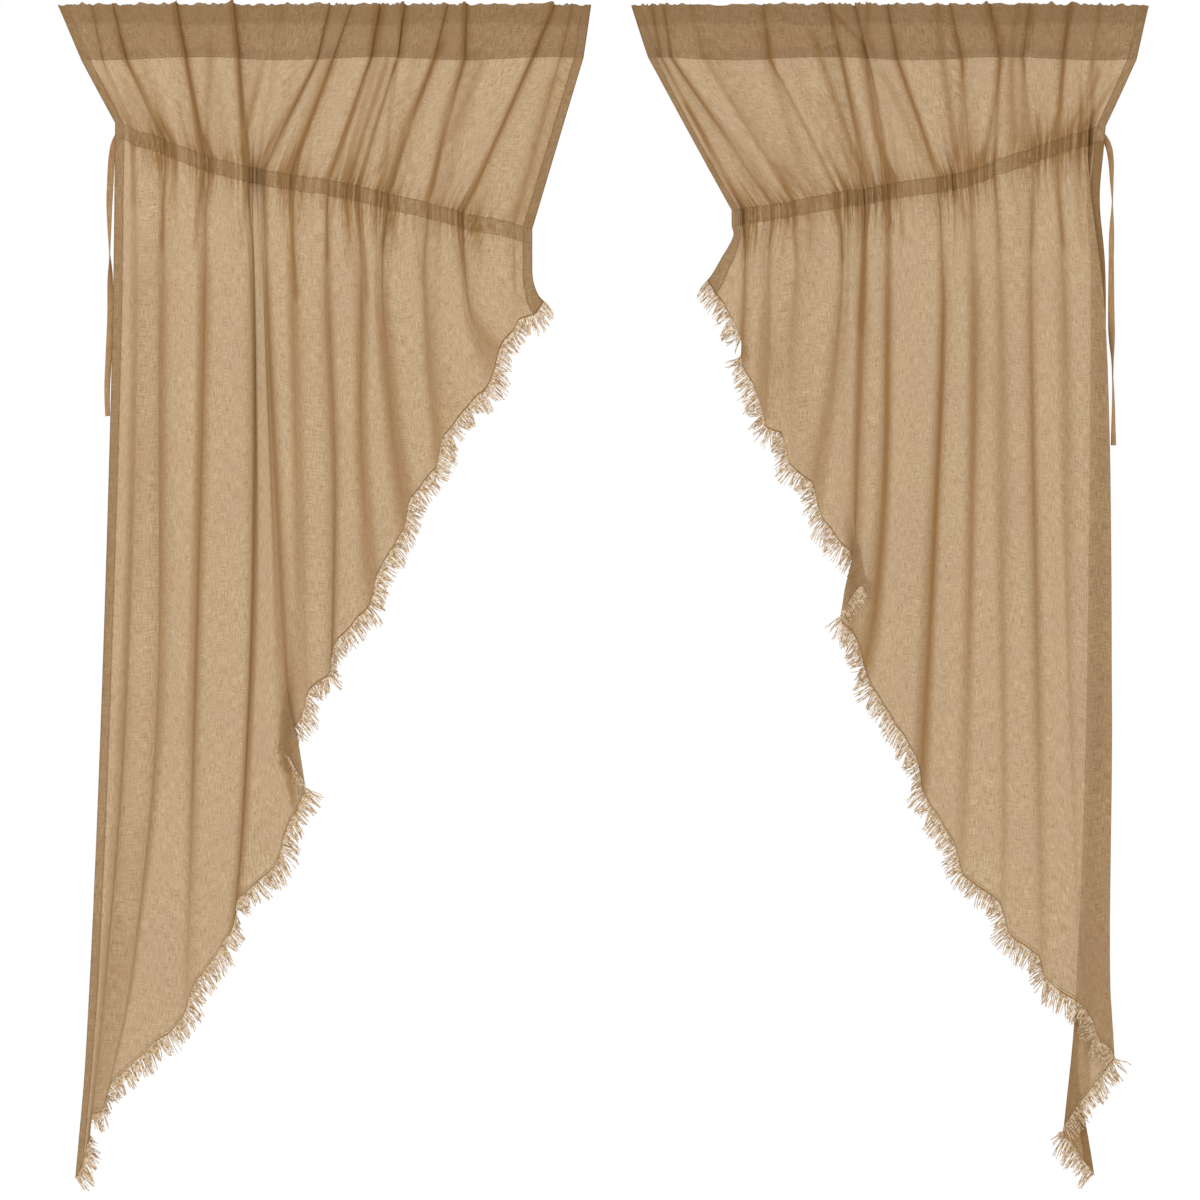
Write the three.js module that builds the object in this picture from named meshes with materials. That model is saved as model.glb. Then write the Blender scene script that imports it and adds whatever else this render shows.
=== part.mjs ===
// A short curtain set: two gathered sheer cotton panels, each on its own flat rod.
// Every panel is a tapered piece of cloth, long at its outer side and short at its inner side.
// It has a rod pocket at the top, a diagonal drawstring casing, and a fringe on its slanting lower edge.
//
// Millimetres. X runs across the window, Z is up, and the front of the cloth faces -Y.
// The origin is on the rods' centre line, halfway between the two panels.
import * as THREE from "three";

// Driving dimensions
const CLOTH_WIDTH = 914; // flat width of each panel, from its short side to its long side
const CLOTH_THICKNESS = 1;
const SEWN_GAP = 0.4; // between two pieces that are sewn together
const ROD_HEIGHT = 25.4;
const ROD_DEPTH = 7;
const SEAM_HEIGHT = -59; // the stitch line under the rod pocket
const SEAM_WAVE = 2; // height of the slow wave of the seam
const SEAM_WAVE_REACH = 38; // the wave repeats after this times 2 pi
const CASING_WIDTH = 20;
const CASING_THICKNESS = 1.2;
const CASING_END_MARGIN = 6; // cloth left free of the casing at each side
const CASING_GAP = 1.05; // wider than the sewn gap, since the cloth's small folds slope towards the casing
const CASING_FOLD_DEPTH = 3;
const CASING_FOLD_LAP = -2;
const BEND_RADIUS = 4; // how softly the cloth turns at a fold
const FOLD_SPARE = 3; // cloth taken up by the turn itself
const WIDE_FLAT = 60; // a stretch between two folds that is wider has a column in its middle
const FAN_FULLNESS = 1.3; // folds stand out more between the pocket and the casing
const FRINGE_LENGTH = 25;
const FRINGE_ROOT = 2.5; // height of the unravelled root of the comb
const FRINGE_BEHIND = 1.8; // how far the comb hangs behind the cloth's plane
const FRINGE_TURN = 10; // width over which it changes to the front of a fold that faces the other way
const FRINGE_PITCH = 26;
const FRINGE_DROOP = 0.45; // how far gravity turns the threads down
const TIE_WIDTH = 9;
const TIE_THICKNESS = 2;
const TIE_STEP = 26;

const CLOTH = { color: 0xc3a784, roughness: 0.9, metalness: 0 };
const TRIM = { color: 0xa8825c, roughness: 0.9, metalness: 0 };
const ENAMEL = { color: 0x433a2e, roughness: 0.4, metalness: 0.1 };

// One row for each fold, from the panel's inner side to its outer side; the first and last rows are the hems.
// cloth: distance from the inner side, measured on the flat cloth.
// rod, seam, casing, hip, knee, ankle, end: distance of the fold from the set's middle, from top to bottom.
// height: where the fold crosses the casing.
// lap: how far the cloth doubles back over itself in the fold.
// depth: how far the cloth beyond the fold stands forward of the cloth before it, or backward where negative.
const COLUMNS = [
  "cloth", "rod", "seam", "casing", "hip", "knee", "ankle", "end", "height",
  "headLap", "hipLap", "kneeLap", "ankleLap", "endLap", "headDepth", "hipDepth", "endDepth",
];

const LEFT_FOLDS = named([
  [0, 12, 22, 90, 90, 89, 82, 74, -295, 0, 0, 0, 0, 0, 0, 0, 0],
  [25, 37, 53, 114, 114, 114, 114, 113, -289, 0, 0, 0, 0, 0, 3, 5, 4],
  [62, 61, 90, 182, 182, 173, 153, 137, -273, 1, 2, 2, 2, 2, 5, 9, 7],
  [157, 179, 181, 229, 233, 227, 218, 213, -261, 3, 4, 7, 10, 11, 5, 10, 9],
  [220, 203, 221, 283, 291, 279, 265, 256, -248, 0, 5, 8, 12, 13, 5, 11, 9],
  [296, 261, 270, 322, 316, 315, 306, 299, -238, 3, 6, 8, 8, 8, 6, 11, 9],
  [373, 293, 305, 362, 363, 354, 355, 357, -230, 3, 6, 10, 14, 17, 6, 11, 9],
  [420, 330, 355, 411, 407, 399, 395, 392, -223, 0, 2, 2, 0, 0, 5, 8, 5],
  [480, 359, 376, 447, 442, 426, 415, 410, -217, 0, 10, 12, 24, 45, 6, 13, 10],
  [570, 432, 435, 459, 453, 447, 446, 424, -214, 0, 0, 0, 0, 0, 1, 1, 1],
  [638, 488, 480, 469, 461, 463, 475, 485, -213, 4, 14, 16, 18, 18, 7, 14, 10],
  [729, 564, 551, 527, 528, 538, 544, 547, -197, 4, 8, 10, 4, 0, 6, 12, 4],
  [830, 648, 630, 583, 583, 589, 625, 657, -175, 2, 5, 6, 2, 0, 6, 10, 4],
  [862, 676, 661, 620, 619, 633, 661, 678, -162, 0, 2, 2, 10, 17, 3, 6, 8],
  [914, 721, 690, 645, 649, 666, 684, 698, -154, 0, 0, 0, 0, 0, 0, 0, 0],
]);

const RIGHT_FOLDS = named([
  [0, 42, 64, 175, 177, 161, 149, 142, -270, 0, 0, 0, 0, 0, 0, 0, 0],
  [72, 69, 82, 193, 194, 192, 189, 188, -268, 0, 3, 8, 16, 23, 4, 8, 8],
  [135, 85, 96, 229, 225, 222, 218, 216, -263, 0, 3, 3, 3, 2, 4, 8, 8],
  [172, 120, 140, 257, 261, 250, 249, 247, -259, 0, 2, 0, 0, 0, 1, 7, 4],
  [222, 218, 226, 317, 322, 309, 294, 287, -246, 2, 4, 4, 2, 0, 6, 9, 7],
  [323, 306, 321, 354, 351, 343, 338, 335, -242, 3, 10, 14, 26, 41, 7, 13, 10],
  [385, 340, 358, 386, 384, 378, 363, 348, -235, 3, 4, 4, 4, 2, 6, 10, 14],
  [507, 383, 396, 452, 458, 443, 431, 426, -226, 2, 8, 12, 18, 20, 5, 13, 10],
  [590, 466, 481, 492, 499, 491, 483, 476, -218, 1, 6, 6, 2, 0, 6, 10, 4],
  [650, 519, 532, 524, 532, 537, 539, 537, -206, 2, 4, 4, 2, 0, 6, 8, 4],
  [700, 572, 563, 575, 575, 580, 584, 587, -187, 3, 5, 5, 2, 0, 5, 8, 3],
  [760, 626, 616, 609, 617, 625, 638, 656, -176, 3, 4, 2, 0, -4, 6, 7, 1],
  [828, 665, 654, 649, 665, 666, 658, 651, -163, 0, 27, 42, 52, 75, -0.4, -10, -12],
  [914, 730, 714, 673, 674, 670, 638, 659, -158, 0, 0, 0, 0, 0, 0, 0, 0],
]);

// The two panels. shortEnd and longEnd are the heights of the lower edge at the inner and the outer side.
// The rod reaches from one X to the other. The tie's route is listed from the casing down, as [X, Z], at tieY.
const PANELS = [
  {
    name: "left",
    side: -1,
    folds: LEFT_FOLDS,
    shortEnd: -383,
    longEnd: -1550,
    rod: [-700, -29],
    tieY: 0.9,
    tie: [
      [-637, -153], [-643, -161], [-648, -173], [-650.5, -193], [-653, -246], [-653.5, -300], [-652.5, -353],
      [-651.5, -386], [-652, -411], [-654, -446], [-656.5, -492], [-656.5, -512], [-655.5, -536],
    ],
  },
  {
    name: "right",
    side: 1,
    folds: RIGHT_FOLDS,
    shortEnd: -354,
    longEnd: -1546,
    rod: [60, 717],
    tieY: 4.2,
    tie: [
      [666, -156], [673, -163], [679, -175], [682, -198], [683, -233], [683, -257], [681.5, -293],
      [681, -326], [681, -380], [682, -446], [683, -486], [684, -526], [684.5, -575],
    ],
  },
];

// The rod pocket, from the back seam over the rod to the front seam.
// y is the cloth's middle plane. share is how much of a fold's depth the row takes (minus is to the front),
// rise is how much of it goes up, and lap is how much of the fold's lap the row takes.
const POCKET_ROWS = [
  { height: SEAM_HEIGHT + 3, y: -2.7, share: -0.15, rise: 0, lap: 0 },
  { height: -36, y: 1.8, share: -0.2, rise: 0, lap: 0 },
  { height: -13, y: 5.8, share: 0.5, rise: 0, lap: 0 },
  { height: 10.5, y: 5.8, share: 0.5, rise: 0.1, lap: 0 },
  { height: 14.6, y: 0, share: 0, rise: 0.4, lap: 0 },
  { height: 10.5, y: -5.8, share: -0.6, rise: 0.1, lap: 0.6 },
  { height: -13, y: -5.8, share: -0.9, rise: 0, lap: 1 },
  { height: SEAM_HEIGHT, y: -5, share: -1, rise: 0, lap: 1 },
];
const HANGING_Y = -5;
const FAN_ROWS = [0.33, 0.67];
const BODY_ROWS = [0, 0.07, 0.2, 0.42, 0.66, 0.88, 1];
// The drawstring inside rounds the casing to the back.
const CASING_ROWS = [
  { share: 0.04, bulge: 0 },
  { share: 0.5, bulge: 2.2 },
  { share: 0.96, bulge: 0 },
];
const BODY_STOPS = [0, 0.2, 0.6, 0.88, 1]; // casing, hip, knee, ankle and end, as shares of the hang

function named(rows) {
  return rows.map((row) => Object.fromEntries(COLUMNS.map((column, i) => [column, row[i]])));
}

const lerp = THREE.MathUtils.lerp;

// A smooth curve through the values at the given stops, read at t.
function through(stops, values, t) {
  const last = stops.length - 1;
  let i = 0;
  while (i < last - 1 && t > stops[i + 1]) i += 1;
  const slope = (a, b) => (values[b] - values[a]) / (stops[b] - stops[a]);
  const step = stops[i + 1] - stops[i];
  const s = (t - stops[i]) / step;
  const leaving = slope(Math.max(i - 1, 0), i + 1) * step;
  const arriving = slope(i, Math.min(i + 2, last)) * step;
  const rise = values[i + 1] - values[i];
  return (
    values[i] + s * (leaving + s * (3 * rise - 2 * leaving - arriving + s * (leaving + arriving - 2 * rise)))
  );
}

// A ramp that starts at 0 and is rounded over the distance r on each side of its start.
function softRamp(t, r) {
  const eased = Math.min(Math.max(t + r, 0), 2 * r);
  return (eased * eased) / (4 * r) + Math.max(t - r, 0);
}

// A polyline through the knots, in [position, value] pairs, with each corner rounded.
function roundedPolyline(knots, position, radius) {
  const slopes = knots.slice(1).map((knot, i) => (knot[1] - knots[i][1]) / (knot[0] - knots[i][0]));
  let value = knots[0][1] + slopes[0] * (position - knots[0][0]);
  for (let i = 1; i < slopes.length; i += 1) {
    const room = Math.min(knots[i][0] - knots[i - 1][0], knots[i + 1][0] - knots[i][0]) / 2;
    value += (slopes[i] - slopes[i - 1]) * softRamp(position - knots[i][0], Math.min(radius, room));
  }
  return value;
}

// One fold's place, lap and depth in the pocket and the fan: level 0 is the rod, 1 the seam, 2 the casing.
function headFold(fold, level) {
  const down = Math.max(level - 1, 0);
  const outward = Math.sign(fold.headDepth);
  const standing = fold.headDepth * (1 + (FAN_FULLNESS - 1) * Math.min(1, 2 * down));
  return {
    at: level < 1 ? lerp(fold.rod, fold.seam, level) : lerp(fold.seam, fold.casing, down),
    lap: lerp(fold.headLap, CASING_FOLD_LAP, down),
    depth: lerp(standing, outward * CASING_FOLD_DEPTH, down * down),
  };
}

// The same in the body, where t runs from 0 at the casing to 1 at the lower edge.
function bodyFold(fold, t) {
  const casingDepth = Math.sign(fold.headDepth) * CASING_FOLD_DEPTH;
  return {
    at: through(BODY_STOPS, [fold.casing, fold.hip, fold.knee, fold.ankle, fold.end], t),
    lap: through(BODY_STOPS, [CASING_FOLD_LAP, fold.hipLap, fold.kneeLap, fold.ankleLap, fold.endLap], t),
    depth: through([0, 0.2, 1], [casingDepth, fold.hipDepth, fold.endDepth], t),
  };
}

// The cloth's course across the panel, from the state of its folds: how far out it is and how far it stands
// forward at one distance along the cloth. At a fold the cloth turns back by the lap and goes from one depth
// to the other, and between two folds it runs nearly straight.
function across(panel, stateOf, cloth) {
  const folds = panel.folds;
  const outs = [[0, stateOf(folds[0]).at]];
  const depths = [[0, 0]];
  for (const fold of folds.slice(1, -1)) {
    const { at, lap, depth } = stateOf(fold);
    const half = foldReach({ lap, depth });
    outs.push([fold.cloth - half, at + lap / 2], [fold.cloth + half, at - lap / 2]);
    depths.push([fold.cloth - half, 0], [fold.cloth + half, depth]);
  }
  outs.push([CLOTH_WIDTH, stateOf(folds.at(-1)).at]);
  depths.push([CLOTH_WIDTH, Math.min(depths.at(-1)[1], 0)]);
  return {
    out: roundedPolyline(outs, cloth, BEND_RADIUS),
    depth: roundedPolyline(depths, cloth, BEND_RADIUS),
  };
}

function casingHeight(panel, cloth) {
  const knots = panel.folds.map((fold) => [fold.cloth, fold.height]);
  return roundedPolyline(knots, cloth, 3 * BEND_RADIUS);
}

// A row of points over the whole width: place(out, depth, cloth) gives a point from the cloth's course.
function rowOfPoints(panel, stateOf, place) {
  return clothColumns(panel, stateOf).map((cloth) => {
    const { out, depth } = across(panel, stateOf, cloth);
    return place(out, depth, cloth).multiply(new THREE.Vector3(panel.side, 1, 1));
  });
}

function seamWave(out) {
  return SEAM_WAVE * Math.sin(out / SEAM_WAVE_REACH);
}

function pocketRow(panel, row) {
  const level = THREE.MathUtils.clamp((ROD_HEIGHT / 2 - row.height) / (ROD_HEIGHT / 2 - SEAM_HEIGHT), 0, 1);
  const stateOf = (fold) => {
    const state = headFold(fold, level);
    return { ...state, lap: state.lap * row.lap };
  };
  return rowOfPoints(panel, stateOf, (out, depth) => {
    const z = row.height + row.rise * depth + level * seamWave(out);
    return new THREE.Vector3(out, row.y + row.share * depth, z);
  });
}

// share runs from 0 at the seam to 1 at the upper edge of the casing.
function fanRow(panel, share) {
  return rowOfPoints(panel, (fold) => headFold(fold, 1 + share), (out, depth, cloth) => {
    const top = SEAM_HEIGHT + seamWave(out);
    const z = lerp(top, casingHeight(panel, cloth) + CASING_WIDTH / 2, share);
    return new THREE.Vector3(out, HANGING_Y - depth, z);
  });
}

// t runs from 0 at the lower edge of the casing to 1 at the cut edge, which is straight on the flat cloth.
function bodyRow(panel, t) {
  return rowOfPoints(panel, (fold) => bodyFold(fold, t), (out, depth, cloth) => {
    const top = casingHeight(panel, cloth) - CASING_WIDTH / 2;
    const end = lerp(panel.shortEnd, panel.longEnd, cloth / CLOTH_WIDTH);
    return new THREE.Vector3(out, HANGING_Y - depth, lerp(top, end, t));
  });
}

// A closed sheet of the given thickness from a grid of points on its middle plane, grid[row][column].
function sheet(grid, thickness) {
  const rows = grid.length;
  const columns = grid[0].length;
  const inRange = (i, count) => THREE.MathUtils.clamp(i, 0, count - 1);
  const point = (r, c) => grid[inRange(r, rows)][inRange(c, columns)];
  const way = (from, to) => to.clone().sub(from).normalize();
  const positions = [];
  for (const face of [1, -1]) {
    for (let r = 0; r < rows; r += 1) {
      for (let c = 0; c < columns; c += 1) {
        const here = point(r, c);
        const along = way(point(r, c - 1), here).add(way(here, point(r, c + 1)));
        const down = way(point(r - 1, c), here).add(way(here, point(r + 1, c)));
        const normal = along.cross(down).normalize();
        positions.push(...here.clone().addScaledVector(normal, (face * thickness) / 2));
      }
    }
  }
  const back = rows * columns;
  const index = [];
  const quad = (a, b, c, d) => index.push(a, b, c, a, c, d);
  for (let r = 0; r < rows - 1; r += 1) {
    for (let c = 0; c < columns - 1; c += 1) {
      const a = r * columns + c;
      quad(a, a + 1, a + columns + 1, a + columns);
      quad(back + a, back + a + columns, back + a + columns + 1, back + a + 1);
    }
  }
  for (let c = 0; c < columns - 1; c += 1) {
    const low = (rows - 1) * columns + c;
    quad(c, back + c, back + c + 1, c + 1);
    quad(low, low + 1, back + low + 1, back + low);
  }
  for (let r = 0; r < rows - 1; r += 1) {
    const a = r * columns;
    const b = a + columns - 1;
    quad(a, a + columns, back + a + columns, back + a);
    quad(b, back + b, back + b + columns, b + columns);
  }
  const geometry = new THREE.BufferGeometry();
  geometry.setAttribute("position", new THREE.Float32BufferAttribute(positions, 3));
  geometry.setIndex(index);
  geometry.computeVertexNormals();
  return geometry;
}

// A mirrored panel has its columns listed the other way round, so that its faces still point out.
function facingOut(panel, grid) {
  return panel.side > 0 ? grid.map((row) => [...row].reverse()) : grid;
}

function mesh(name, geometry, finish) {
  const made = new THREE.Mesh(geometry, new THREE.MeshStandardMaterial(finish));
  made.name = name;
  return made;
}

// Half of the cloth taken up by a fold, from its middle to where the cloth runs on.
function foldReach({ lap, depth }) {
  return (Math.hypot(lap, depth) + FOLD_SPARE) / 2;
}

// Distances along the cloth at which the sheet has a column: three at each fold and one in each wide flat.
function clothColumns(panel, stateOf) {
  const folds = panel.folds;
  const columns = [0];
  for (let i = 1; i < folds.length; i += 1) {
    const last = i === folds.length - 1;
    const reach = last ? 0 : foldReach(stateOf(folds[i]));
    const start = folds[i].cloth - reach;
    if (folds[i].cloth - folds[i - 1].cloth > WIDE_FLAT) columns.push((columns.at(-1) + start) / 2);
    columns.push(start);
    if (!last) columns.push(folds[i].cloth, folds[i].cloth + reach);
  }
  return columns;
}

// The panel's grid, from the back seam of the pocket over the rod and down to the cut edge.
function panelGrid(panel) {
  return facingOut(panel, [
    ...POCKET_ROWS.map((row) => pocketRow(panel, row)),
    ...FAN_ROWS.map((share) => fanRow(panel, share)),
    fanRow(panel, 1),
    ...BODY_ROWS.map((t) => bodyRow(panel, t)),
  ]);
}

// The row without the given length at each of its two ends.
function shortened(row, length) {
  const inset = (end, next) => end.clone().lerp(next, length / end.distanceTo(next));
  return [inset(row[0], row[1]), ...row.slice(1, -1), inset(row.at(-1), row.at(-2))];
}

// The casing is a strip on the back of the cloth, rounded by the drawstring that runs through it.
function casingMesh(panel) {
  const behind = CLOTH_THICKNESS / 2 + CASING_GAP + CASING_THICKNESS / 2;
  const top = shortened(fanRow(panel, 1), CASING_END_MARGIN);
  const bottom = shortened(bodyRow(panel, 0), CASING_END_MARGIN);
  const grid = CASING_ROWS.map(({ share, bulge }) =>
    top.map((point, i) => {
      const place = point.clone().lerp(bottom[i], share);
      return place.setY(place.y + behind + bulge);
    }),
  );
  return mesh(panel.name + "_casing", sheet(facingOut(panel, grid), CASING_THICKNESS), TRIM);
}

// The fringe is one comb whose clumps of threads hang from the cut edge, square to it and drawn down a little.
// It hangs just off the cloth's plane, on the side that faces away from the next layer at a fold.
function fringeMesh(panel, grid) {
  const edge = grid.at(-1);
  const above = grid.at(-2);
  const hangs = edge.map((corner, i) => corner.clone().sub(above[i]).normalize());
  const turned = panel.folds.find((fold) => fold.endDepth < 0);
  const turnedFrom = turned ? turned.end - turned.endLap / 2 - FRINGE_TURN : Infinity;
  const comb = [[], []];
  const tooth = (root, way, reach) => {
    const beyond = (Math.abs(root.x) - turnedFrom) / FRINGE_TURN;
    const behind = FRINGE_BEHIND * THREE.MathUtils.clamp(-beyond, -1, 1);
    comb[0].push(root.clone().addScaledVector(way, SEWN_GAP).setY(root.y + SEWN_GAP * way.y + behind));
    comb[1].push(root.clone().addScaledVector(way, reach).setY(root.y + reach * way.y + behind));
  };
  for (let i = 0; i < edge.length - 1; i += 1) {
    tooth(edge[i], hangs[i], FRINGE_ROOT);
    const along = edge[i + 1].clone().sub(edge[i]).normalize();
    const hang = hangs[i].clone().add(hangs[i + 1]).normalize();
    const square = hang.clone().addScaledVector(along, -hang.dot(along)).normalize();
    const way = square.lerp(hang, FRINGE_DROOP).normalize();
    const halves = 2 * Math.round(edge[i].distanceTo(edge[i + 1]) / FRINGE_PITCH);
    for (let j = 1; j < halves; j += 1) {
      const root = edge[i].clone().lerp(edge[i + 1], j / halves);
      tooth(root, way, j % 2 ? FRINGE_LENGTH : FRINGE_ROOT);
    }
  }
  tooth(edge.at(-1), hangs.at(-1), FRINGE_ROOT);
  return mesh(panel.name + "_fringe", sheet(comb, CLOTH_THICKNESS), CLOTH);
}

// The tie is the flat end of the drawstring, hanging free beside the outer hem.
function tieMesh(panel) {
  const route = new THREE.CatmullRomCurve3(panel.tie.map(([x, z]) => new THREE.Vector3(x, panel.tieY, z)));
  const section = new THREE.Shape();
  section.absellipse(0, 0, TIE_THICKNESS / 2, TIE_WIDTH / 2, 0, 2 * Math.PI);
  const steps = Math.round(route.getLength() / TIE_STEP);
  const geometry = new THREE.ExtrudeGeometry(section, { steps, curveSegments: 4, extrudePath: route });
  return mesh(panel.name + "_tie", geometry, TRIM);
}

// The flat rod has rounded upper and lower edges and flat ends.
function rodMesh(panel) {
  const radius = ROD_DEPTH / 2;
  const straight = ROD_HEIGHT / 2 - radius;
  const section = new THREE.Shape();
  section.absarc(0, straight, radius, 0, Math.PI);
  section.absarc(0, -straight, radius, Math.PI, 2 * Math.PI);
  const [start, end] = panel.rod;
  const length = { depth: end - start, bevelEnabled: false, curveSegments: 6 };
  const geometry = new THREE.ExtrudeGeometry(section, length);
  const acrossWindow = new THREE.Matrix4().makeBasis(
    new THREE.Vector3(0, 1, 0),
    new THREE.Vector3(0, 0, 1),
    new THREE.Vector3(1, 0, 0),
  );
  geometry.applyMatrix4(acrossWindow).translate(start, 0, 0);
  return mesh(panel.name + "_rod", geometry, ENAMEL);
}

const curtains = new THREE.Group();
curtains.name = "short_curtain_set";
for (const panel of PANELS) {
  const side = new THREE.Group();
  const grid = panelGrid(panel);
  side.add(
    mesh(panel.name + "_panel", sheet(grid, CLOTH_THICKNESS), CLOTH),
    casingMesh(panel),
    fringeMesh(panel, grid),
    tieMesh(panel),
    rodMesh(panel),
  );
  curtains.add(side);
}

export default curtains;
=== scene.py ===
"""A pair of short sheer cotton curtains, each gathered by a diagonal drawstring casing, on flat rods.

The cloth is worked out as a surface over two parameters: the distance along the flat cloth and the way down
from the pocket to the cut edge. Tables and formulas are in millimetres and are turned to metres at the end.
X runs across the window, Z is up from the rod's middle line, and the cloth's front faces -Y.
"""

import functools
import math

import bpy
import numpy as np
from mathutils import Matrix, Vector


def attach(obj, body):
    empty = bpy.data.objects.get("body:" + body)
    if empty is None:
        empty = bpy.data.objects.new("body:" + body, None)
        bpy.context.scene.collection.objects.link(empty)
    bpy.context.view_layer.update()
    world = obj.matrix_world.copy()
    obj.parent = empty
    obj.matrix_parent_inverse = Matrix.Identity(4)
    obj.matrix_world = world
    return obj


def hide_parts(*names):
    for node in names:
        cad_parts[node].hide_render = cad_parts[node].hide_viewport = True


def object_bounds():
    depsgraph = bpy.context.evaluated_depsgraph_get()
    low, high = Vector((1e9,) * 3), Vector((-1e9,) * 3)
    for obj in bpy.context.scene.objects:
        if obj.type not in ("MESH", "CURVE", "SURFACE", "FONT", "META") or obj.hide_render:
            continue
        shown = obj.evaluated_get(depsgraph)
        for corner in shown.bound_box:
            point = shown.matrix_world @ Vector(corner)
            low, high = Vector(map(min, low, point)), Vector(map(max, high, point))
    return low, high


bl_info = {
    "name": "Short Sheer Curtain Pair",
    "version": (1, 0, 0),
    "blender": (4, 5, 0),
    "location": "3D View > Sidebar > Curtains",
    "description": "Builds two gathered sheer cotton panels with casings, ties and fringes on flat rods",
    "category": "Add Mesh",
}

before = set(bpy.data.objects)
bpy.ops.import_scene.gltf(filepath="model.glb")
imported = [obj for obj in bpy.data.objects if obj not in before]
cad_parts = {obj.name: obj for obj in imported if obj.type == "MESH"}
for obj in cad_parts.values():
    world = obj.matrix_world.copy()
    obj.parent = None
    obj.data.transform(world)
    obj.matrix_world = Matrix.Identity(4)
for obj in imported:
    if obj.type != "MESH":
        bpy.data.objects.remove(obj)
CAD_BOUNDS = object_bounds()

MM = 0.001

# The cloth and its trimmings, in mm
CLOTH_WIDTH = 914.0  # between the edges of the two side hems, on the flat cloth
HEM = 13.0
LAYER_GAP = 0.9  # between a hem and the cloth that it's folded onto
HEM_BEND = 1.5  # over this much cloth the hem's fold passes to the back
CASING_WIDTH = 20.0
HANGING_Y = -5.0  # where the cloth hangs below the pocket, in front of the rod's middle line

# The pocket in section, in mm: the cloth's Y and the share of the folds' depth that it takes, at heights
ROD_HALF_HEIGHT = 12.7
SEAM_HEIGHT = -59.0
SEAM_WAVE, SEAM_WAVE_RADIUS = 2.0, 38.0  # the seam rises and falls as the first times sin(x / the second)
TURNED_UNDER = 13.0
SHOULDER = 9.0  # height where the pocket starts to round over the rod
HALF_DEPTH = 5.4  # from the rod's middle line to the cloth over the rod
CROWN_START, CROWN = 9.6, 5.0  # the rounding's foot and its rise
CROWN_RISE = 0.35  # share of a fold's depth by which it stands up from the crown
UNDER_Y, UNDER_SHARE = -3.4, -0.9
BACK_HEIGHTS, BACK_Y, BACK_SHARE = (SEAM_HEIGHT, -36, -13), (-2.6, 2.4, HALF_DEPTH), (-0.9, -0.2, 0.4)
FRONT_HEIGHTS, FRONT_Y = (SEAM_HEIGHT, -13), (-4.6, -HALF_DEPTH)
FRONT_SHARE_HEIGHTS, FRONT_SHARE = (-50, SHOULDER), (-1.0, -0.6)
CROWN_SHARE, CROWN_SHARE_MIDDLE = 0.4, -0.1  # over the rod: the first times the cosine, plus the second
# The rows of each of its stretches: the first height, the last one and how many
UNDER_ROWS = [(SEAM_HEIGHT + TURNED_UNDER, SEAM_HEIGHT + 1.2, 4)]
BACK_ROWS = [(SEAM_HEIGHT + 0.6, -16, 8), (-12, SHOULDER, 4)]
CROWN_ROWS = 5
FRONT_ROWS = [(SHOULDER, -13, 6), (-17, SEAM_HEIGHT + 1, 11)]
FREE_ROWS = 9  # rows above the seam over which the cloth gets free to gather

# How finely the surface is drawn
CLOTH_COLUMNS, HEM_COLUMNS = 430, 5
FAN_ROWS, CASING_ROWS, BODY_ROWS = 40, 9, 128
BODY_CROWDING = 1.35  # power that sets the body's rows closer together near the casing

# The folds, in mm
BEND_RADIUS = 9.0
CASING_BEND_RADIUS = 20.0
CASING_FOLD_DEPTH = 3.0
CASING_FOLD_LAP = -2.0
HEM_ROOM = 17.0  # cloth beside each side edge that no fold reaches into
HEM_SHARES = (0.6, 0.75)  # the most that a hem takes up in front view of a long and of a short outer segment
FOLD_SPARE = 3.0  # cloth that a fold takes beyond its lap and depth, which rounds it
SOFT_SPARE = 22.0  # more of it in each fold towards the cut edge, where the folds open into waves
OPENING = 90.0  # distance below the casing over which the folds open
LAP_LOST, LAP_SHRUNK = 12.0, 0.6  # what an opened fold loses of its lap: mm, and a share of it
DEPTH_LOST = 0.35  # and the share that it loses of its depth
FIRM_LAP = (18.0, 34.0)  # from the first lap to the second, folds go from opening to staying closed
LOOSE_SLACK = -30.0  # folds stay closed where the cloth between them is this much too short to open
FAN_SPARE, FAN_LAP_LOST = 12.0, 7.0  # the same spare cloth and loss of lap between the pocket and the casing
FAN_FULLNESS = 1.3  # how much deeper the folds stand there than in the pocket
FAN_STOPS = (1.0, 1.3, 1.75, 2.0)  # levels where the fan's folds start and end to open, then to close
LAP_FADE = 12.0  # a fold that laps this far opens about a third as much there
BODY_STOPS = (0.0, 0.2, 0.6, 0.88, 1.0)  # casing, hip, knee, ankle and end, as shares of the way down
DEPTH_STOPS = (0.0, 0.2, 1.0)  # casing, hip and end
KNOT_GAP = 1.0  # the least cloth between two folds
# The right panel's outer side is drawn in under its casing: how far, where as a share of the way down, over
# what share of it, and on which stretch of the cloth it sets in
DRAWN_IN, DRAWN_AT, DRAWN_OVER, DRAWN_CLOTH = 8.0, 0.055, 0.045, (790.0, 900.0)

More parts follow.
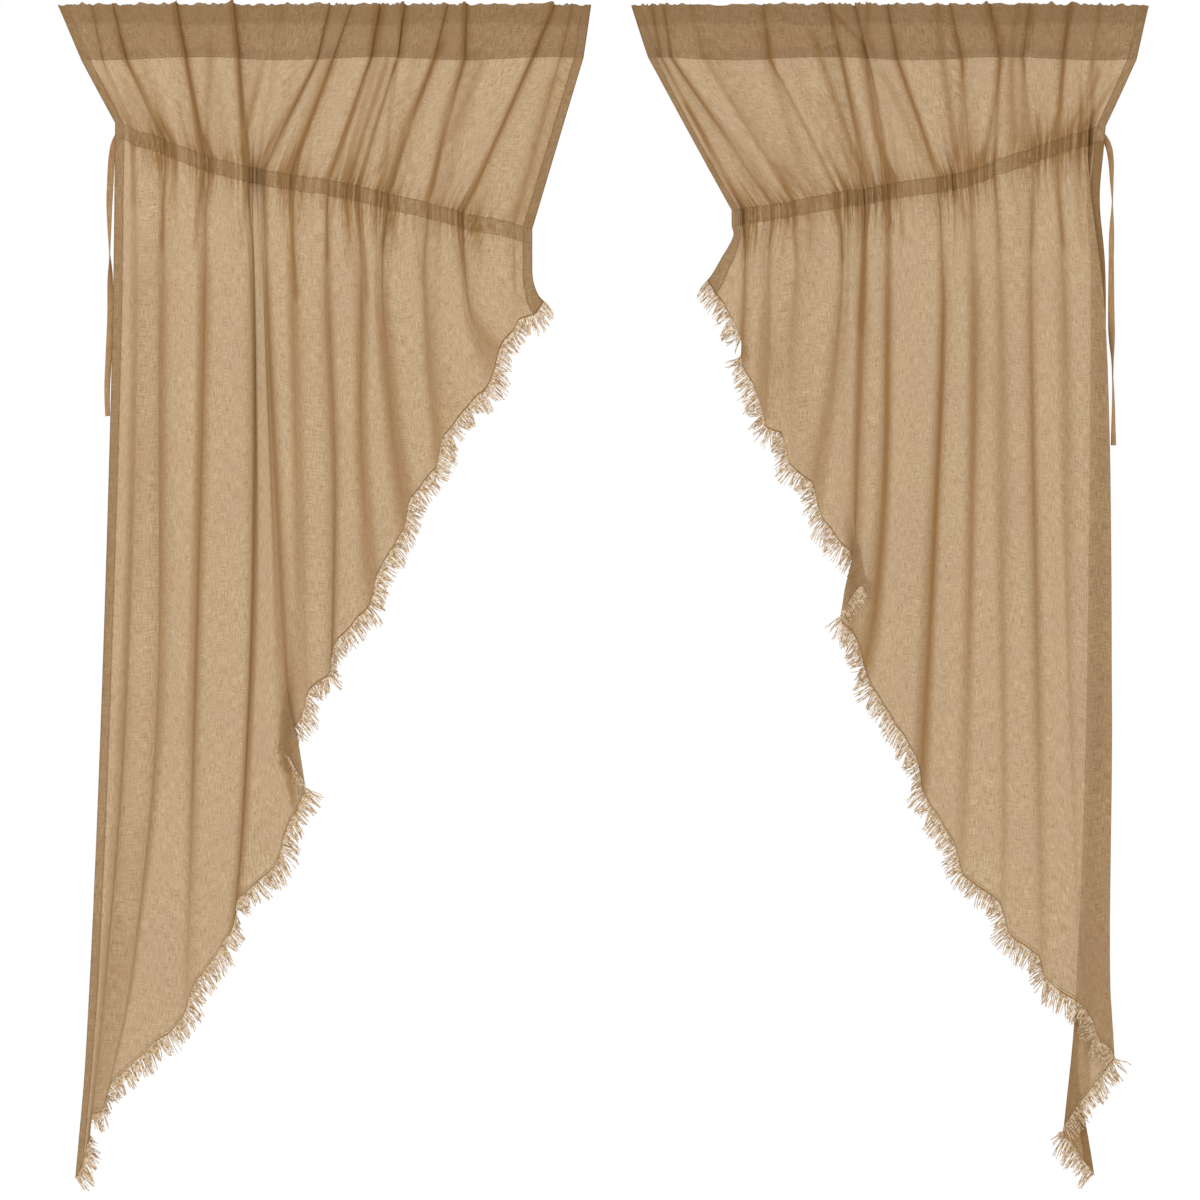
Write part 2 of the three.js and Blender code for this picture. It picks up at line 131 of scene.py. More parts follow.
# Gathers and creases, in mm
CREASE_WIDENING = 1.4  # a crease is this much wider than the dark line that it was read from
CREASE_FOOT, CREASE_HEAD = (-14.0, 10.0), (-8.0, 12.0)  # heights from its two ends over which it fades
CREASED_BODY_ROWS = 70  # rows below the casing that creases may reach
GATHER_LENGTHS = (9.0, 13.0, 19.0, 29.0, 43.0)  # mean distances between gathers, from fine to coarse
GATHER_BASE, GATHER_GROWTH = 0.8, 0.035  # a gather's height is the first plus the second times its length
GATHER_SHARE = 0.5  # share of the sum of all gathers that the cloth takes
GATHER_REACH = (3.0, 2.0)  # how far gathers reach below and above the casing, in their own lengths
# Pinches are painted shade only: narrow dark lines beside the casing that leave the cloth where it is
PINCH_WIDTH = 1.5  # across a narrow pinch beside the casing, from its middle to where it fades
PINCH_LENGTHS = (13.0, 17.0, 22.0, 31.0, 43.0)  # mean distances between pinches, from fine to coarse
PINCH_REACH = (1.5, 1.0)  # as for gathers
PINCH_SHARPNESS = 3.0  # the least sharpness, for fine pinches
CROWD_LEAST, CROWD_MORE, CROWD_WIDTH = 0.4, 0.7, 15.0  # strength everywhere, what crowding adds, and how wide
CROWD_PINCHED = 0.15  # what is added to the strength for pinches
CROWD_MOST = 1.2  # the most strength for puckers and fine lines
CALM_EDGE = (-10.0, 70.0)  # distance from a side edge over which the gathers set in
SWAY, SWAY_RADIUS = 2.5, 19.0  # gathers lean by the first times sin(z / the second)
DRIFT, DRIFT_RADIUS = 18.0, 330.0  # and soft waves by these
# A hollow between gathers gets painted shade
HOLLOW, HOLLOW_REACH = (-1.2, 1.6), 45.0  # depths over which a hollow goes dark, and how far from the casing
BACK_CREASE = -0.25  # how much of a crease the pocket's back layer takes
HEADER_CREASE, HEADER_BAND = 1.9, (7.0, 12.0)  # how far creases ruffle the top, and where that sets in
PUCKER_REACH = 10.0  # how far from the casing its small puckers reach
SOFT_BAND = (30.0, 260.0)  # distance from the casing over which the soft waves set in
EDGE_WAVERS = (0.5, 1.0)  # share of the way down over which the height of the lower cloth starts to waver
WANDER, WANDER_LENGTHS, WANDER_SEED = 3.0, (71.0, 113.0, 187.0), 50  # how waves wander along the cloth
PUFF_HEIGHT, PUFF_SHARPNESS, PUFF_MIDDLE = 2.2, 1.6, -0.9  # a gather's ridge
# Height, wave lengths and what is added to the panel's seed, for each kind of ripple
RIPPLES = {
    "soft": (0.55, (44.0, 67.0, 103.0), 1),
    "pucker": (0.8, (7.7, 12.0, 23.0), 2),
    "cut edge": (1.0, (21.0, 37.0, 61.0), 3),
    # shade is painted shade that follows the soft waves; it darkens the cloth and doesn't move it
    "shade": (0.05, (39.0, 61.0, 97.0), 4),
    "header": (0.8, (13.0, 23.0, 47.0), 6),
    "pinch": (1.0, PINCH_LENGTHS, 7),
}

# How much each thing darkens the cloth, from 0 for flat cloth to 1 for the darkest fold, a crease for each mm
# of its height. This is painted shade: in steep cloth, folds, creases, hollows, pinches, fine gathers, above
# the casing, in the pocket and over the rod, and partly the real density where cloth lies doubled at hems and
# turned back; the rolled cut edge is darkened too. The sum is mixed from each column's own darkness and the
# darkness spread around it.
DARK = {
    "steep": 0.33, "steep in body": 0.6, "crease": 1 / 6, "hollow": 0.2, "pinch": 0.7,
    "fold above": 0.3, "fold below": 0.52, "turned back": 0.42, "hem": 0.12,
    "above casing": 0.11, "pocket": 0.12, "rod": 0.16, "own": 0.35, "spread": 0.9,
    "fine gather": 0.5, "rolled edge": 0.85,
}
# A fold's band of painted shade in front view
BAND_HALF_WIDTH, BAND_WIDENING, BAND_POWER = 4.0, 6.0, 2.2  # a fold's dark band in front view
BAND_ROOM = 0.6  # share of the cloth to the next fold that a band may take
BAND_DEPTHS = (5.0, 6.0)  # depths at which a fold above or below the casing has most of its darkness
SPREAD_COLUMNS = 4  # columns to each side that darkness spreads over
# Fine gather lines are painted shade in the cloth's colour
GATHER_FADE = (34.0, 24.0)  # distance below and above the casing over which fine gather lines fade

# Threads, in mm
THREAD_SPACING = 1.2  # drawn over twice as wide as the real 0.5 mm, so that the weave shows
SLUB = 12  # how many times longer than wide a slub is
STITCH_PITCH, STITCH_LENGTH, STITCH_RADIUS = 3.4, 2.5, 0.26
STITCH_LIFT, STITCH_SINK = 0.32, 0.15  # a stitch's middle stands on the cloth and its ends go into it
SEAM_INSET = 1.5  # from a hem's inner edge to its stitches
FRINGE_SEAM_ROWS = 0.55  # from the cut edge up to its stitches
SEAM_POINTS = (900, 1500)  # points that a seam's line is read at, across and down
TUBE_REFERENCE = np.array([0.13, 0.97, 0.21])  # a tube's rings are turned to this way, which no thread runs

# The fringe's yarns, in mm: short ones between the long ones, whose length and spacing are settings
LONG_YARNS = {"more_seed": 0, "steps": 8, "radius": 1.05}
SHORT_YARNS = {"more_seed": 1, "steps": 5, "radius": 0.7, "spacing": 2.1, "longest": 13.0}
# Ranges that the yarns' and their clumps' values are drawn from
YARN = {
    "place": (-0.6, 0.6),  # off its own place, in spacings
    "hang": (0.05, 0.45),  # from square to the edge, 0, to in line with the cloth, 1
    "clump": (9.0, 19.0),  # a clump's width in mm
    "clump length": (0.72, 1.0),  # as a share of the longest yarns'
    "length": (0.7, 1.05),  # as a share of its clump's
    "pull": (0.2, 0.6),  # share of the way to its clump's middle that its tip goes
    "turns": (4.0, 9.0),  # of its wave, in radians
    "thickness": (0.7, 1.1),
}
CLUMP_SWING, YARN_SWING = 0.14, 0.035  # spread of the clumps' and the yarns' lean, as a share of their length
CLUMP_STEP = 12.0  # fewer mm than the mean clump, so that there are clumps enough for the edge
YARN_DROOP, YARN_WAVE = 0.16, 0.35  # as a share of a yarn's length, and in mm
YARN_TIP, YARN_ROOT = 0.6, -0.04  # the tip's share of the thickness, and the start's place inside the cloth
YARN_SEEDS = 7  # this far apart are the seeds of panels whose own seeds differ by one
EDGE_POINTS, EDGE_ROWS = 4000, 3  # points along the cut edge, and rows above it that show how the cloth hangs
EDGE_REACH = 3.0  # to each side of a yarn's root, the edge's course is taken between points this far off
LEFT_WAY_OUT = -0.15  # the most that yarns of the left panel point to its outer side

# The casing's strip and the ties, in mm
CASING_INSET = 5.0  # from each side edge
CASING_OVERHANG = 0.03  # share of the casing's width by which its strip passes each seam
CASING_STRIP_ROWS, CASING_STRIP_WIDTH = 15, 24.0  # a strip's cloth is wider than the casing and bulges
CASING_BULGE, CASING_ROUNDNESS = 3.0, 0.7  # how far it stands off the cloth, and the power that rounds it
CASING_PUCKER, CASING_PUCKER_LENGTH, CASING_PUCKER_SEED = 0.3, 9.3, 5
# The strip gets painted shade: a share of the band's fold shade, and fine gather lines
CASING_FOLD_ROW, CASING_FOLD_SHARE = 3, 0.1  # row of the band whose folds darken the strip, and their share
CASING_GATHERED = 0.5  # strength of the strip's fine gather lines
TIE_RINGS, TIE_SIDES, TIE_SOFTNESS = 140, 16, 6  # the last is how many rings its bends are rounded over
TIE_HALF_THICKNESS = 0.7
TIE_POWERS = (0.5, 0.8)  # of the cosine and the sine that round its section
TIE_CURL, TIE_CURL_RADIUS = 0.9, 41.0  # its edges curl by the first times sin(distance / the second)
TIE_NECK, TIE_NECK_RADIUS, TIE_NECK_START = 0.8, 70.0, 0.7  # its least width as a share, and where necks are
TIE_END = 0.999  # how far each end is drawn in to a point, which closes it

# Colours that aren't settings
HEX = {
    # The folded colour and the glow in a fold are painted shade: what the cloth's colour and the light
    # through it turn to in folds, creases and doubled cloth
    "worn patch": "#9C7860", "folded": "#835F35", "glow in painted fold shade": "#805A2E", "gap": "#F6E8D2",
    "tape": ("#8F6E48", "#B48F66"), "sewing": ("#7C5C3A", "#9A7650"), "enamel": ("#3B3328", "#483E31"),
    "floor": "#F4F3F0",
}
# How much of the light goes through each cloth to its other side
THROUGH = {"voile": 0.31, "yarn": 0.33, "doubled": 0.2}
OPEN_SPREAD = (0.3, 1.7)  # the densest and the loosest weave, as factors of the open share
FOLD_CLOSES = (0.05, 0.75, 1.0, 0.12)  # from the first darkness to the second, gaps shrink by these factors
# Sizes in the materials, in metres
THREAD_HEIGHT, COAT_HEIGHT = 0.0004, 0.0002
ROLLED_EDGE = (0.0024, 0.0036)  # from the cut edge, where its dark roll ends
# Fine gather lines are painted shade in the cloth's colour
GATHER_WANDER = 0.022  # how far fine gather lines wander
GATHER_LINE = 0.045  # half the width of a fine gather line, as a step of its noise
# Patterns in the materials, as repeats in a metre
# Fine gather lines of painted shade
GATHERS_PER_METRE = (120.0, 10.0, 1.0)  # 8 mm apart and 100 mm long
WANDER_PER_METRE = 33.0  # 30 mm long
DYE_PER_METRE = 9.0  # patches of 110 mm
YARN_PER_METRE = 260.0  # 4 mm, two or three yarns
COAT_PER_METRE = 70.0  # 14 mm, the waviness of a dipped coat

# The stage, in metres: each light's place, its share of the key light's power and its size
LIGHTS = {"key_light": ((-1.9, -2.6, 0.5), 1.0, 1.6), "side_light": ((2.6, -1.2, -0.6), 0.35, 1.2)}
FLOOR = (1.5, -1.2, 0.74)  # half its width, its front and its back
SENSOR_WIDTH = 36.0

# Scale of the front view that the crease lines below were read from
PHOTO_MM_PER_PIXEL = 1.33
PHOTO_MIDDLE_X = 600.0
PHOTO_ROD_Y = 14.7
PHOTO_SIZE = 1200.0

COLUMNS = (
    "cloth rod seam casing hip knee ankle end height "
    "headLap hipLap kneeLap ankleLap endLap headDepth hipDepth endDepth"
).split()

# One row for each fold, from the panel's inner side to its outer side, as in the part's source
LEFT_FOLDS = [
    [0, 12, 22, 90, 90, 89, 82, 74, -295, 0, 0, 0, 0, 0, 0, 0, 0],
    [25, 37, 53, 114, 114, 114, 114, 113, -289, 0, 0, 0, 0, 0, 3, 5, 4],
    [62, 61, 90, 182, 182, 173, 153, 137, -273, 1, 2, 2, 2, 2, 5, 9, 7],
    [157, 179, 181, 229, 233, 227, 218, 213, -261, 3, 4, 7, 10, 11, 5, 10, 9],
    [220, 203, 221, 283, 291, 279, 265, 256, -248, 0, 5, 8, 12, 13, 5, 11, 9],
    [296, 261, 270, 322, 316, 315, 306, 299, -238, 3, 6, 8, 8, 8, 6, 11, 9],
    [373, 293, 305, 362, 363, 354, 355, 357, -230, 3, 6, 10, 14, 17, 6, 11, 9],
    [420, 330, 355, 411, 407, 399, 395, 392, -223, 0, 2, 2, 0, 0, 5, 8, 5],
    [480, 359, 376, 447, 442, 426, 415, 410, -217, 0, 10, 12, 24, 45, 6, 13, 10],
    [570, 432, 435, 459, 453, 447, 446, 424, -214, 0, 0, 0, 0, 0, 1, 1, 1],
    [638, 488, 480, 469, 461, 463, 475, 485, -213, 4, 14, 16, 18, 18, 7, 14, 10],
    [729, 564, 551, 527, 528, 538, 544, 547, -197, 4, 8, 10, 4, 0, 6, 12, 4],
    [830, 648, 630, 583, 583, 589, 625, 657, -175, 2, 5, 6, 2, 0, 6, 10, 4],
    [862, 676, 661, 620, 619, 633, 661, 678, -162, 0, 2, 2, 10, 17, 3, 6, 8],
    [914, 721, 690, 645, 649, 666, 684, 698, -154, 0, 0, 0, 0, 0, 0, 0, 0],
]
RIGHT_FOLDS = [
    [0, 42, 64, 175, 177, 161, 149, 142, -270, 0, 0, 0, 0, 0, 0, 0, 0],
    [72, 69, 82, 193, 194, 192, 189, 188, -268, 0, 3, 8, 16, 23, 4, 8, 8],
    [135, 85, 96, 229, 225, 222, 218, 216, -263, 0, 3, 3, 3, 2, 4, 8, 8],
    [172, 120, 140, 257, 261, 250, 249, 247, -259, 0, 2, 0, 0, 0, 1, 7, 4],
    [222, 218, 226, 317, 322, 309, 294, 287, -246, 2, 4, 4, 2, 0, 6, 9, 7],
    [323, 306, 321, 354, 351, 343, 338, 335, -242, 3, 10, 14, 26, 41, 7, 13, 10],
    [385, 340, 358, 386, 384, 378, 363, 348, -235, 3, 4, 4, 4, 2, 6, 10, 14],
    [507, 383, 396, 452, 458, 443, 431, 426, -226, 2, 8, 12, 18, 20, 5, 13, 10],
    [590, 466, 481, 492, 499, 491, 483, 476, -218, 1, 6, 6, 2, 0, 6, 10, 4],
    [650, 519, 532, 524, 532, 537, 539, 537, -206, 2, 4, 4, 2, 0, 6, 8, 4],
    [700, 572, 563, 575, 575, 580, 584, 587, -187, 3, 5, 5, 2, 0, 5, 8, 3],
    [760, 626, 616, 609, 617, 625, 638, 656, -176, 3, 4, 2, 0, -4, 6, 7, 1],
    [828, 665, 654, 649, 665, 666, 658, 651, -163, 0, 27, 42, 52, 75, -0.4, -10, -12],
    [914, 730, 714, 673, 674, 670, 638, 659, -158, 0, 0, 0, 0, 0, 0, 0, 0],
]

# Creases that run from the pocket to the casing and on below it, read in the front view's pixels.
# Each is how high it stands in mm, half its width in mm, then its points from top to bottom.
LEFT_CREASES = [
    (2.0, 3.0, [(554, 5), (531.6, 59), (481.6, 171), (463, 214)]),
    (1.6, 5.0, [(552, 75), (513.7, 220)]),
    (1.6, 3.5, [(484, 61), (455.7, 125), (440, 150)]),
    (2.6, 3.0, [(465.5, 3.5), (463.8, 59), (445, 114), (430.7, 193)]),
    (3.2, 3.0, [(445, 41), (434, 61), (405.7, 125), (387.9, 189)]),
    (2.6, 2.6, [(404, 2), (403, 59), (396.8, 64), (384, 161), (376.5, 172)]),
    (2.4, 2.4, [(388, 59), (386, 66), (358, 152), (347, 179)]),
    (2.4, 2.4, [(384, 5), (377, 62), (343, 175)]),
    (2.4, 2.6, [(376, 8), (371, 64), (331, 173)]),
    (2.8, 3.4, [(333, 61), (291, 168)]),
    (2.2, 3.0, [(317, 63), (262, 159)]),
    (2.0, 2.4, [(280.9, 4), (281, 26)]),
    (2.8, 2.6, [(233.6, 3), (237, 59), (242.5, 161)]),
    (2.6, 3.0, [(264, 59), (245, 136), (242.5, 157)]),
    (2.4, 2.8, [(210, 40), (210, 59), (206.8, 152)]),
    (2.6, 3.0, [(176, 3), (178, 28), (186, 59), (201.4, 152)]),
    (2.6, 2.8, [(115.7, 32), (126.4, 59), (165.7, 134)]),
    (2.0, 2.6, [(121, 75), (153, 130)]),
    (2.0, 2.6, [(101, 78), (128, 125)]),
    (1.8, 2.6, [(160, 96), (176.4, 100), (181, 120), (187, 145)]),
    (2.0, 2.4, [(133.6, 140), (134, 168), (133, 205)]),
    (1.6, 2.2, [(142.5, 144), (143, 172)]),
    (2.0, 2.6, [(165.7, 158), (161, 250)]),
    (1.6, 2.4, [(175.5, 160), (176, 212)]),
    (3.0, 2.4, [(203, 168), (194, 250)]),
    (2.4, 2.2, [(247, 178), (240.7, 250)]),
    (1.8, 2.2, [(266.6, 185), (267, 235)]),
    (2.2, 2.6, [(292.5, 190), (293, 250), (296, 300)]),
    (1.6, 2.2, [(305, 191), (305, 230)]),
    (2.0, 2.4, [(325.5, 195), (327, 260)]),
    (2.0, 2.4, [(346.8, 200), (348, 262)]),
    (2.2, 2.6, [(358, 203), (365, 250), (368, 300)]),
    (1.8, 2.2, [(371, 206), (372, 245)]),
    (2.0, 2.2, [(387.9, 210), (382, 250)]),
    (1.8, 2.4, [(392, 211), (400, 262)]),
    (2.0, 2.6, [(416.4, 217), (420, 285)]),
    (1.8, 2.4, [(458, 227), (459, 270)]),
    (1.8, 2.2, [(475, 231), (476, 262)]),
    (1.6, 2.2, [(509, 239), (506, 270)]),
]
RIGHT_CREASES = [
    (2.2, 3.2, [(671.8, 59), (696.8, 93), (727, 134), (752, 164), (770, 196)]),
    (2.2, 3.0, [(686, 104), (704, 136), (714.6, 166), (741, 203.6)]),
    (3.0, 3.0, [(766, 32), (770, 59), (780.7, 100), (795, 141), (809, 173), (823.6, 194.6)]),
    (1.8, 2.6, [(777, 164), (791, 187.5)]),
    (3.0, 3.2, [(812.9, 34), (820, 59), (834, 100), (850, 143), (864.6, 175)]),
    (2.4, 2.8, [(836, 43), (841, 59), (854, 110.7), (864.6, 157), (870, 178.6)]),
    (2.8, 3.0, [(821.8, 2.7), (839.6, 21), (859, 41), (863, 59), (868, 86), (875, 136), (895, 182)]),
    (2.2, 2.4, [(868, 4), (865.5, 32), (875, 59)]),
    (1.8, 4.5, [(820, 96), (834, 134), (852, 170)]),
    (1.6, 3.0, [(822, 146), (831, 164), (843, 186)]),
    (2.4, 3.0, [(894, 36), (898, 59), (910, 93), (921, 125), (933.6, 166)]),
    (1.6, 4.5, [(880, 71), (899.6, 107), (919, 152)]),
    (3.0, 2.6, [(937, 4), (941.6, 59), (946, 89), (951, 125), (956.8, 161)]),
    (2.4, 2.6, [(953, 29), (962, 59), (961, 93), (962, 143), (967.5, 168)]),
    (2.8, 3.0, [(987, 3.6), (990.7, 18), (1002, 41), (999.6, 59), (994, 104), (987, 137.5), (980, 164)]),
    (2.6, 2.4, [(1019, 3.6), (1012, 36), (1011, 59), (1010, 89), (1012, 143)]),
    (2.2, 2.4, [(1031.8, 5), (1030, 36), (1023, 59), (1023.8, 148)]),
    (1.6, 2.4, [(1053, 3.6), (1046, 29)]),
    (1.8, 2.6, [(1037, 116), (1034.5, 146)]),
    (2.6, 2.6, [(1071, 5), (1064, 44.6), (1062, 71), (1058.6, 111), (1051, 139)]),
    (2.2, 2.6, [(1092.5, 59), (1087, 89), (1076, 118), (1069, 132)]),
    (2.0, 2.4, [(1099.6, 71), (1076, 130)]),
    (2.0, 2.6, [(1117.5, 77), (1085, 128.6)]),
    (2.0, 3.0, [(746, 222), (746, 252)]),
    (1.8, 2.2, [(755.7, 222), (756, 250)]),
    (1.8, 2.4, [(775, 219), (768, 248)]),
    (1.8, 2.2, [(787, 219), (795, 248)]),
    (1.8, 2.2, [(805.7, 213), (809, 246)]),
    (2.0, 2.4, [(843, 206), (842, 262)]),
    (3.0, 2.6, [(863.8, 203), (864, 262), (861, 330)]),
    (2.0, 2.2, [(883.6, 200), (892.5, 226)]),
    (2.0, 2.2, [(898, 197), (903, 240)]),
    (1.8, 2.4, [(956.8, 188), (965.7, 223)]),
    (2.0, 2.4, [(997, 175), (1000.5, 248)]),
    (2.0, 2.4, [(1035, 164), (1031.8, 248)]),
    (2.2, 2.6, [(1053, 157), (1064, 248)]),
    (2.2, 2.4, [(1073, 148), (1081.8, 246)]),
]

# For each panel: its side, its folds, the cut edge's height at the inner and the outer side, its creases, the
# pixel columns where its gathers crowd, its seed, and its tie: its Y, the X and Z of its route, and distances
# down it with its twist there in degrees
PANELS = {
    "left": {
        "side": -1,
        "folds": LEFT_FOLDS,
        "ends": (-383.0, -1550.0),
        "creases": LEFT_CREASES,
        "crowded": [163, 204, 244, 290, 350, 382, 460, 478],
        "seed": 3,
        "tie_y": 0.9,
        "tie": [
            (-637, -153), (-643, -161), (-648, -173), (-650.5, -193), (-653, -246), (-653.5, -300),
            (-652.5, -353), (-651.5, -386), (-652, -411), (-654, -446), (-656.5, -492), (-656.5, -512),
            (-655.5, -536),
        ],
        "tie_turns": [(0, 0), (90, 5), (165, 75), (200, 150), (235, 180), (380, 200)],
    },
    "right": {
        "side": 1,
        "folds": RIGHT_FOLDS,
        "ends": (-354.0, -1546.0),
        "creases": RIGHT_CREASES,
        "crowded": [746, 786, 848, 867, 888, 950, 978, 1042, 1070, 1086],
        "seed": 8,
        "tie_y": 4.2,
        "tie": [
            (666, -156), (673, -163), (679, -175), (682, -198), (683, -233), (683, -257), (681.5, -293),
            (681, -326), (681, -380), (682, -446), (683, -486), (684, -526), (684.5, -575),
        ],
        "tie_turns": [(0, 0), (60, 60), (95, 95), (150, 170), (260, 180), (305, 260), (420, 345)],
    },
}


def linear(hex_colour):
    """An sRGB hex colour as the linear red, green, blue and alpha that Blender wants."""
    values = [int(hex_colour[i : i + 2], 16) / 255 for i in (1, 3, 5)]
    return tuple(v / 12.92 if v <= 0.04045 else ((v + 0.055) / 1.055) ** 2.4 for v in values) + (1.0,)


def smooth(x, low, high):
    """Runs from 0 at low to 1 at high, level at both ends: 3s^2 - 2s^3."""
    s = np.clip((x - low) / (high - low), 0, 1)
    return s * s * (3 - 2 * s)


def lerp(a, b, share):
    """The straight way from a to b."""
    return a + (b - a) * share


def unit(vectors):
    """Each vector divided by its length."""
    return vectors / np.maximum(np.linalg.norm(vectors, axis=-1, keepdims=True), 1e-9)


def run_along(points):
    """The distance along a line of points, from 0 at the first."""
    return np.concatenate([[0], np.cumsum(np.linalg.norm(np.diff(points, axis=0), axis=1))])


def at_distance(where, run, points):
    """The points of a line at the given distances along it."""
    return np.stack([np.interp(where, run, points[:, i]) for i in range(3)], -1)


def from_photo(points):
    """Points of the front view in its pixels, as X and Z in mm."""
    p = np.asarray(points, float)
    return (p[:, 0] - PHOTO_MIDDLE_X) * PHOTO_MM_PER_PIXEL, (PHOTO_ROD_Y - p[:, 1]) * PHOTO_MM_PER_PIXEL


def through(stops, values, t):
    """A cubic Hermite curve through values[fold, stop], read at each t; the result is [t, fold].
    The slope at a stop is the one between its two neighbours."""
    stops = np.asarray(stops, float)
    last = len(stops) - 1
    i = np.clip(np.searchsorted(stops, t, side="right") - 1, 0, last - 1)
    before, after = np.maximum(i - 1, 0), np.minimum(i + 2, last)
    step = stops[i + 1] - stops[i]
    s = ((t - stops[i]) / step)[:, None]
    leaving = ((values[:, i + 1] - values[:, before]) / (stops[i + 1] - stops[before]) * step).T
    arriving = ((values[:, after] - values[:, i]) / (stops[after] - stops[i]) * step).T
    start, rise = values[:, i].T, (values[:, i + 1] - values[:, i]).T
    square, cube = 3 * rise - 2 * leaving - arriving, leaving + arriving - 2 * rise
    return start + s * (leaving + s * (square + s * cube))


def rounded_polyline(knots, values, position, radius):
    """A polyline through (knots, values), both [row, knot], at position [column], with each corner rounded.
    It is the first straight line plus, at each knot, the change of slope times a ramp that starts there and
    is rounded over the radius on each side of its start."""
    gaps = np.diff(knots, axis=1)
    slopes = np.diff(values, axis=1) / gaps
    result = values[:, :1] + slopes[:, :1] * (position - knots[:, :1])
    for i in range(1, slopes.shape[1]):
        r = np.minimum(np.minimum(gaps[:, i - 1], gaps[:, i]) / 2, radius)[:, None]
        x = position - knots[:, i : i + 1]
        ramp = np.clip(x + r, 0, 2 * r) ** 2 / (4 * r) + np.maximum(x - r, 0)
        result = result + (slopes[:, i] - slopes[:, i - 1])[:, None] * ramp
    return result


def true_hems(knots, outs, cloth):
    """Distances along the cloth for rows of knots, eased so that each side hem keeps its own width in front
    view and the fullness of the outermost segment lies between the hem and the next fold."""
    moved = np.broadcast_to(cloth, (len(knots), len(cloth))).copy()
    for edge, beside, way in ((0, 1, 1), (-1, -2, -1)):
        side_edge = knots[:, edge : edge + 1 or None]
        segment = np.abs(knots[:, beside] - knots[:, edge])[:, None]
        wide = np.abs(outs[:, beside] - outs[:, edge])[:, None]
        shown = np.minimum(HEM / np.maximum(wide, 1), np.maximum(HEM_SHARES[0], HEM / segment)) * segment
        shown = np.minimum(shown, HEM_SHARES[1] * segment)
        away = way * (cloth - side_edge)
        beyond = shown + (away - HEM) * (segment - shown) / (segment - HEM)
        eased = np.where(away < HEM, away * shown / HEM, beyond)
        moved = np.where(away < segment, side_edge + way * eased, moved)
    return moved


def course(folds, at, lap, depth, cloth, spare=FOLD_SPARE):
    """How far out and how far forward the cloth is at each distance along it, for rows of fold states.
    At a fold the cloth turns back by the lap and goes from one depth to the other: two knots, as far apart
    along the cloth as that takes and some spare, and less where the next fold is near. The more spare cloth
    a fold has, the softer it is."""
    gaps = np.diff(folds["cloth"])
    half = (np.hypot(lap, depth) + spare) / 2
    crowding = (half[:, :-1] + half[:, 1:]) / (gaps - KNOT_GAP)
    half[:, 1:-1] /= np.maximum(1, np.maximum(crowding[:, :-1], crowding[:, 1:]))
    half[:, 1] = np.minimum(half[:, 1], gaps[0] - HEM_ROOM)
    half[:, -2] = np.minimum(half[:, -2], gaps[-1] - HEM_ROOM)
    middle = folds["cloth"][1:-1]
    knots, outs, depths = (np.zeros((len(at), 2 * len(middle) + 2)) for _ in range(3))
    knots[:, 1:-1:2], knots[:, 2:-1:2] = middle - half[:, 1:-1], middle + half[:, 1:-1]
    outs[:, 1:-1:2], outs[:, 2:-1:2] = (at + lap / 2)[:, 1:-1], (at - lap / 2)[:, 1:-1]
    depths[:, 2:-1:2] = depth[:, 1:-1]
    knots[:, -1] = CLOTH_WIDTH
    outs[:, 0], outs[:, -1] = at[:, 0], at[:, -1]
    depths[:, -1] = np.minimum(depth[:, -2], 0)
    place = true_hems(knots, outs, cloth)
    return [rounded_polyline(knots, values, place, BEND_RADIUS) for values in (outs, depths)]


def head_course(folds, level, cloth):
    """The cloth's course in the pocket and the fan: level 0 is the rod, 1 the seam and 2 the casing."""
    level = np.asarray(level, float)[:, None]
    down = np.maximum(level - 1, 0)
    to_seam, to_casing = lerp(folds["rod"], folds["seam"], level), lerp(folds["seam"], folds["casing"], down)
    lap = lerp(folds["headLap"], CASING_FOLD_LAP, down)
    standing = folds["headDepth"] * (1 + (FAN_FULLNESS - 1) * np.minimum(1, 2 * down))
    depth = lerp(standing, np.sign(folds["headDepth"]) * CASING_FOLD_DEPTH, down**2)
    opened = smooth(level, *FAN_STOPS[:2]) * (1 - smooth(level, *FAN_STOPS[2:]))
    opened = opened * np.exp(-np.maximum(lap, 0) / LAP_FADE)
    at, spare = np.where(level < 1, to_seam, to_casing), FOLD_SPARE + FAN_SPARE * opened
    return course(folds, at, lap - FAN_LAP_LOST * opened, depth, cloth, spare)


def body_depths(folds, t):
    """How far forward each fold stands below the casing, for rows at t."""
    start = np.sign(folds["headDepth"]) * CASING_FOLD_DEPTH
    return through(DEPTH_STOPS, np.stack([start, folds["hipDepth"], folds["endDepth"]], 1), t)


def body_course(folds, t, cloth):
    """The cloth's course below the casing, where t runs from 0 there to 1 at the cut edge.
    Folds open with the distance below it, but where they lap far or the cloth between them is short."""
    at = through(BODY_STOPS, np.stack([folds[n] for n in ("casing", "hip", "knee", "ankle", "end")], 1), t)
    start_lap = np.full_like(folds["cloth"], CASING_FOLD_LAP)
    laps = np.stack([start_lap] + [folds[n] for n in ("hipLap", "kneeLap", "ankleLap", "endLap")], 1)
    lap = through(BODY_STOPS, laps, t)
    slack = np.pad(np.diff(folds["cloth"]) - np.abs(np.diff(at, axis=1)), ((0, 0), (1, 1)), mode="edge")
    loose = smooth(np.minimum(slack[:, :-1], slack[:, 1:]), LOOSE_SLACK, 0) * (folds["hipDepth"] > 0)
    opened = loose * smooth(t[:, None] * folds["hang"], 0, OPENING) * (1 - smooth(lap, *FIRM_LAP))
    lap = lap * (1 - LAP_SHRUNK * opened) - LAP_LOST * opened
    depth = body_depths(folds, t) * (1 - DEPTH_LOST * opened)
    return course(folds, at, lap, depth, cloth, FOLD_SPARE + SOFT_SPARE * opened)


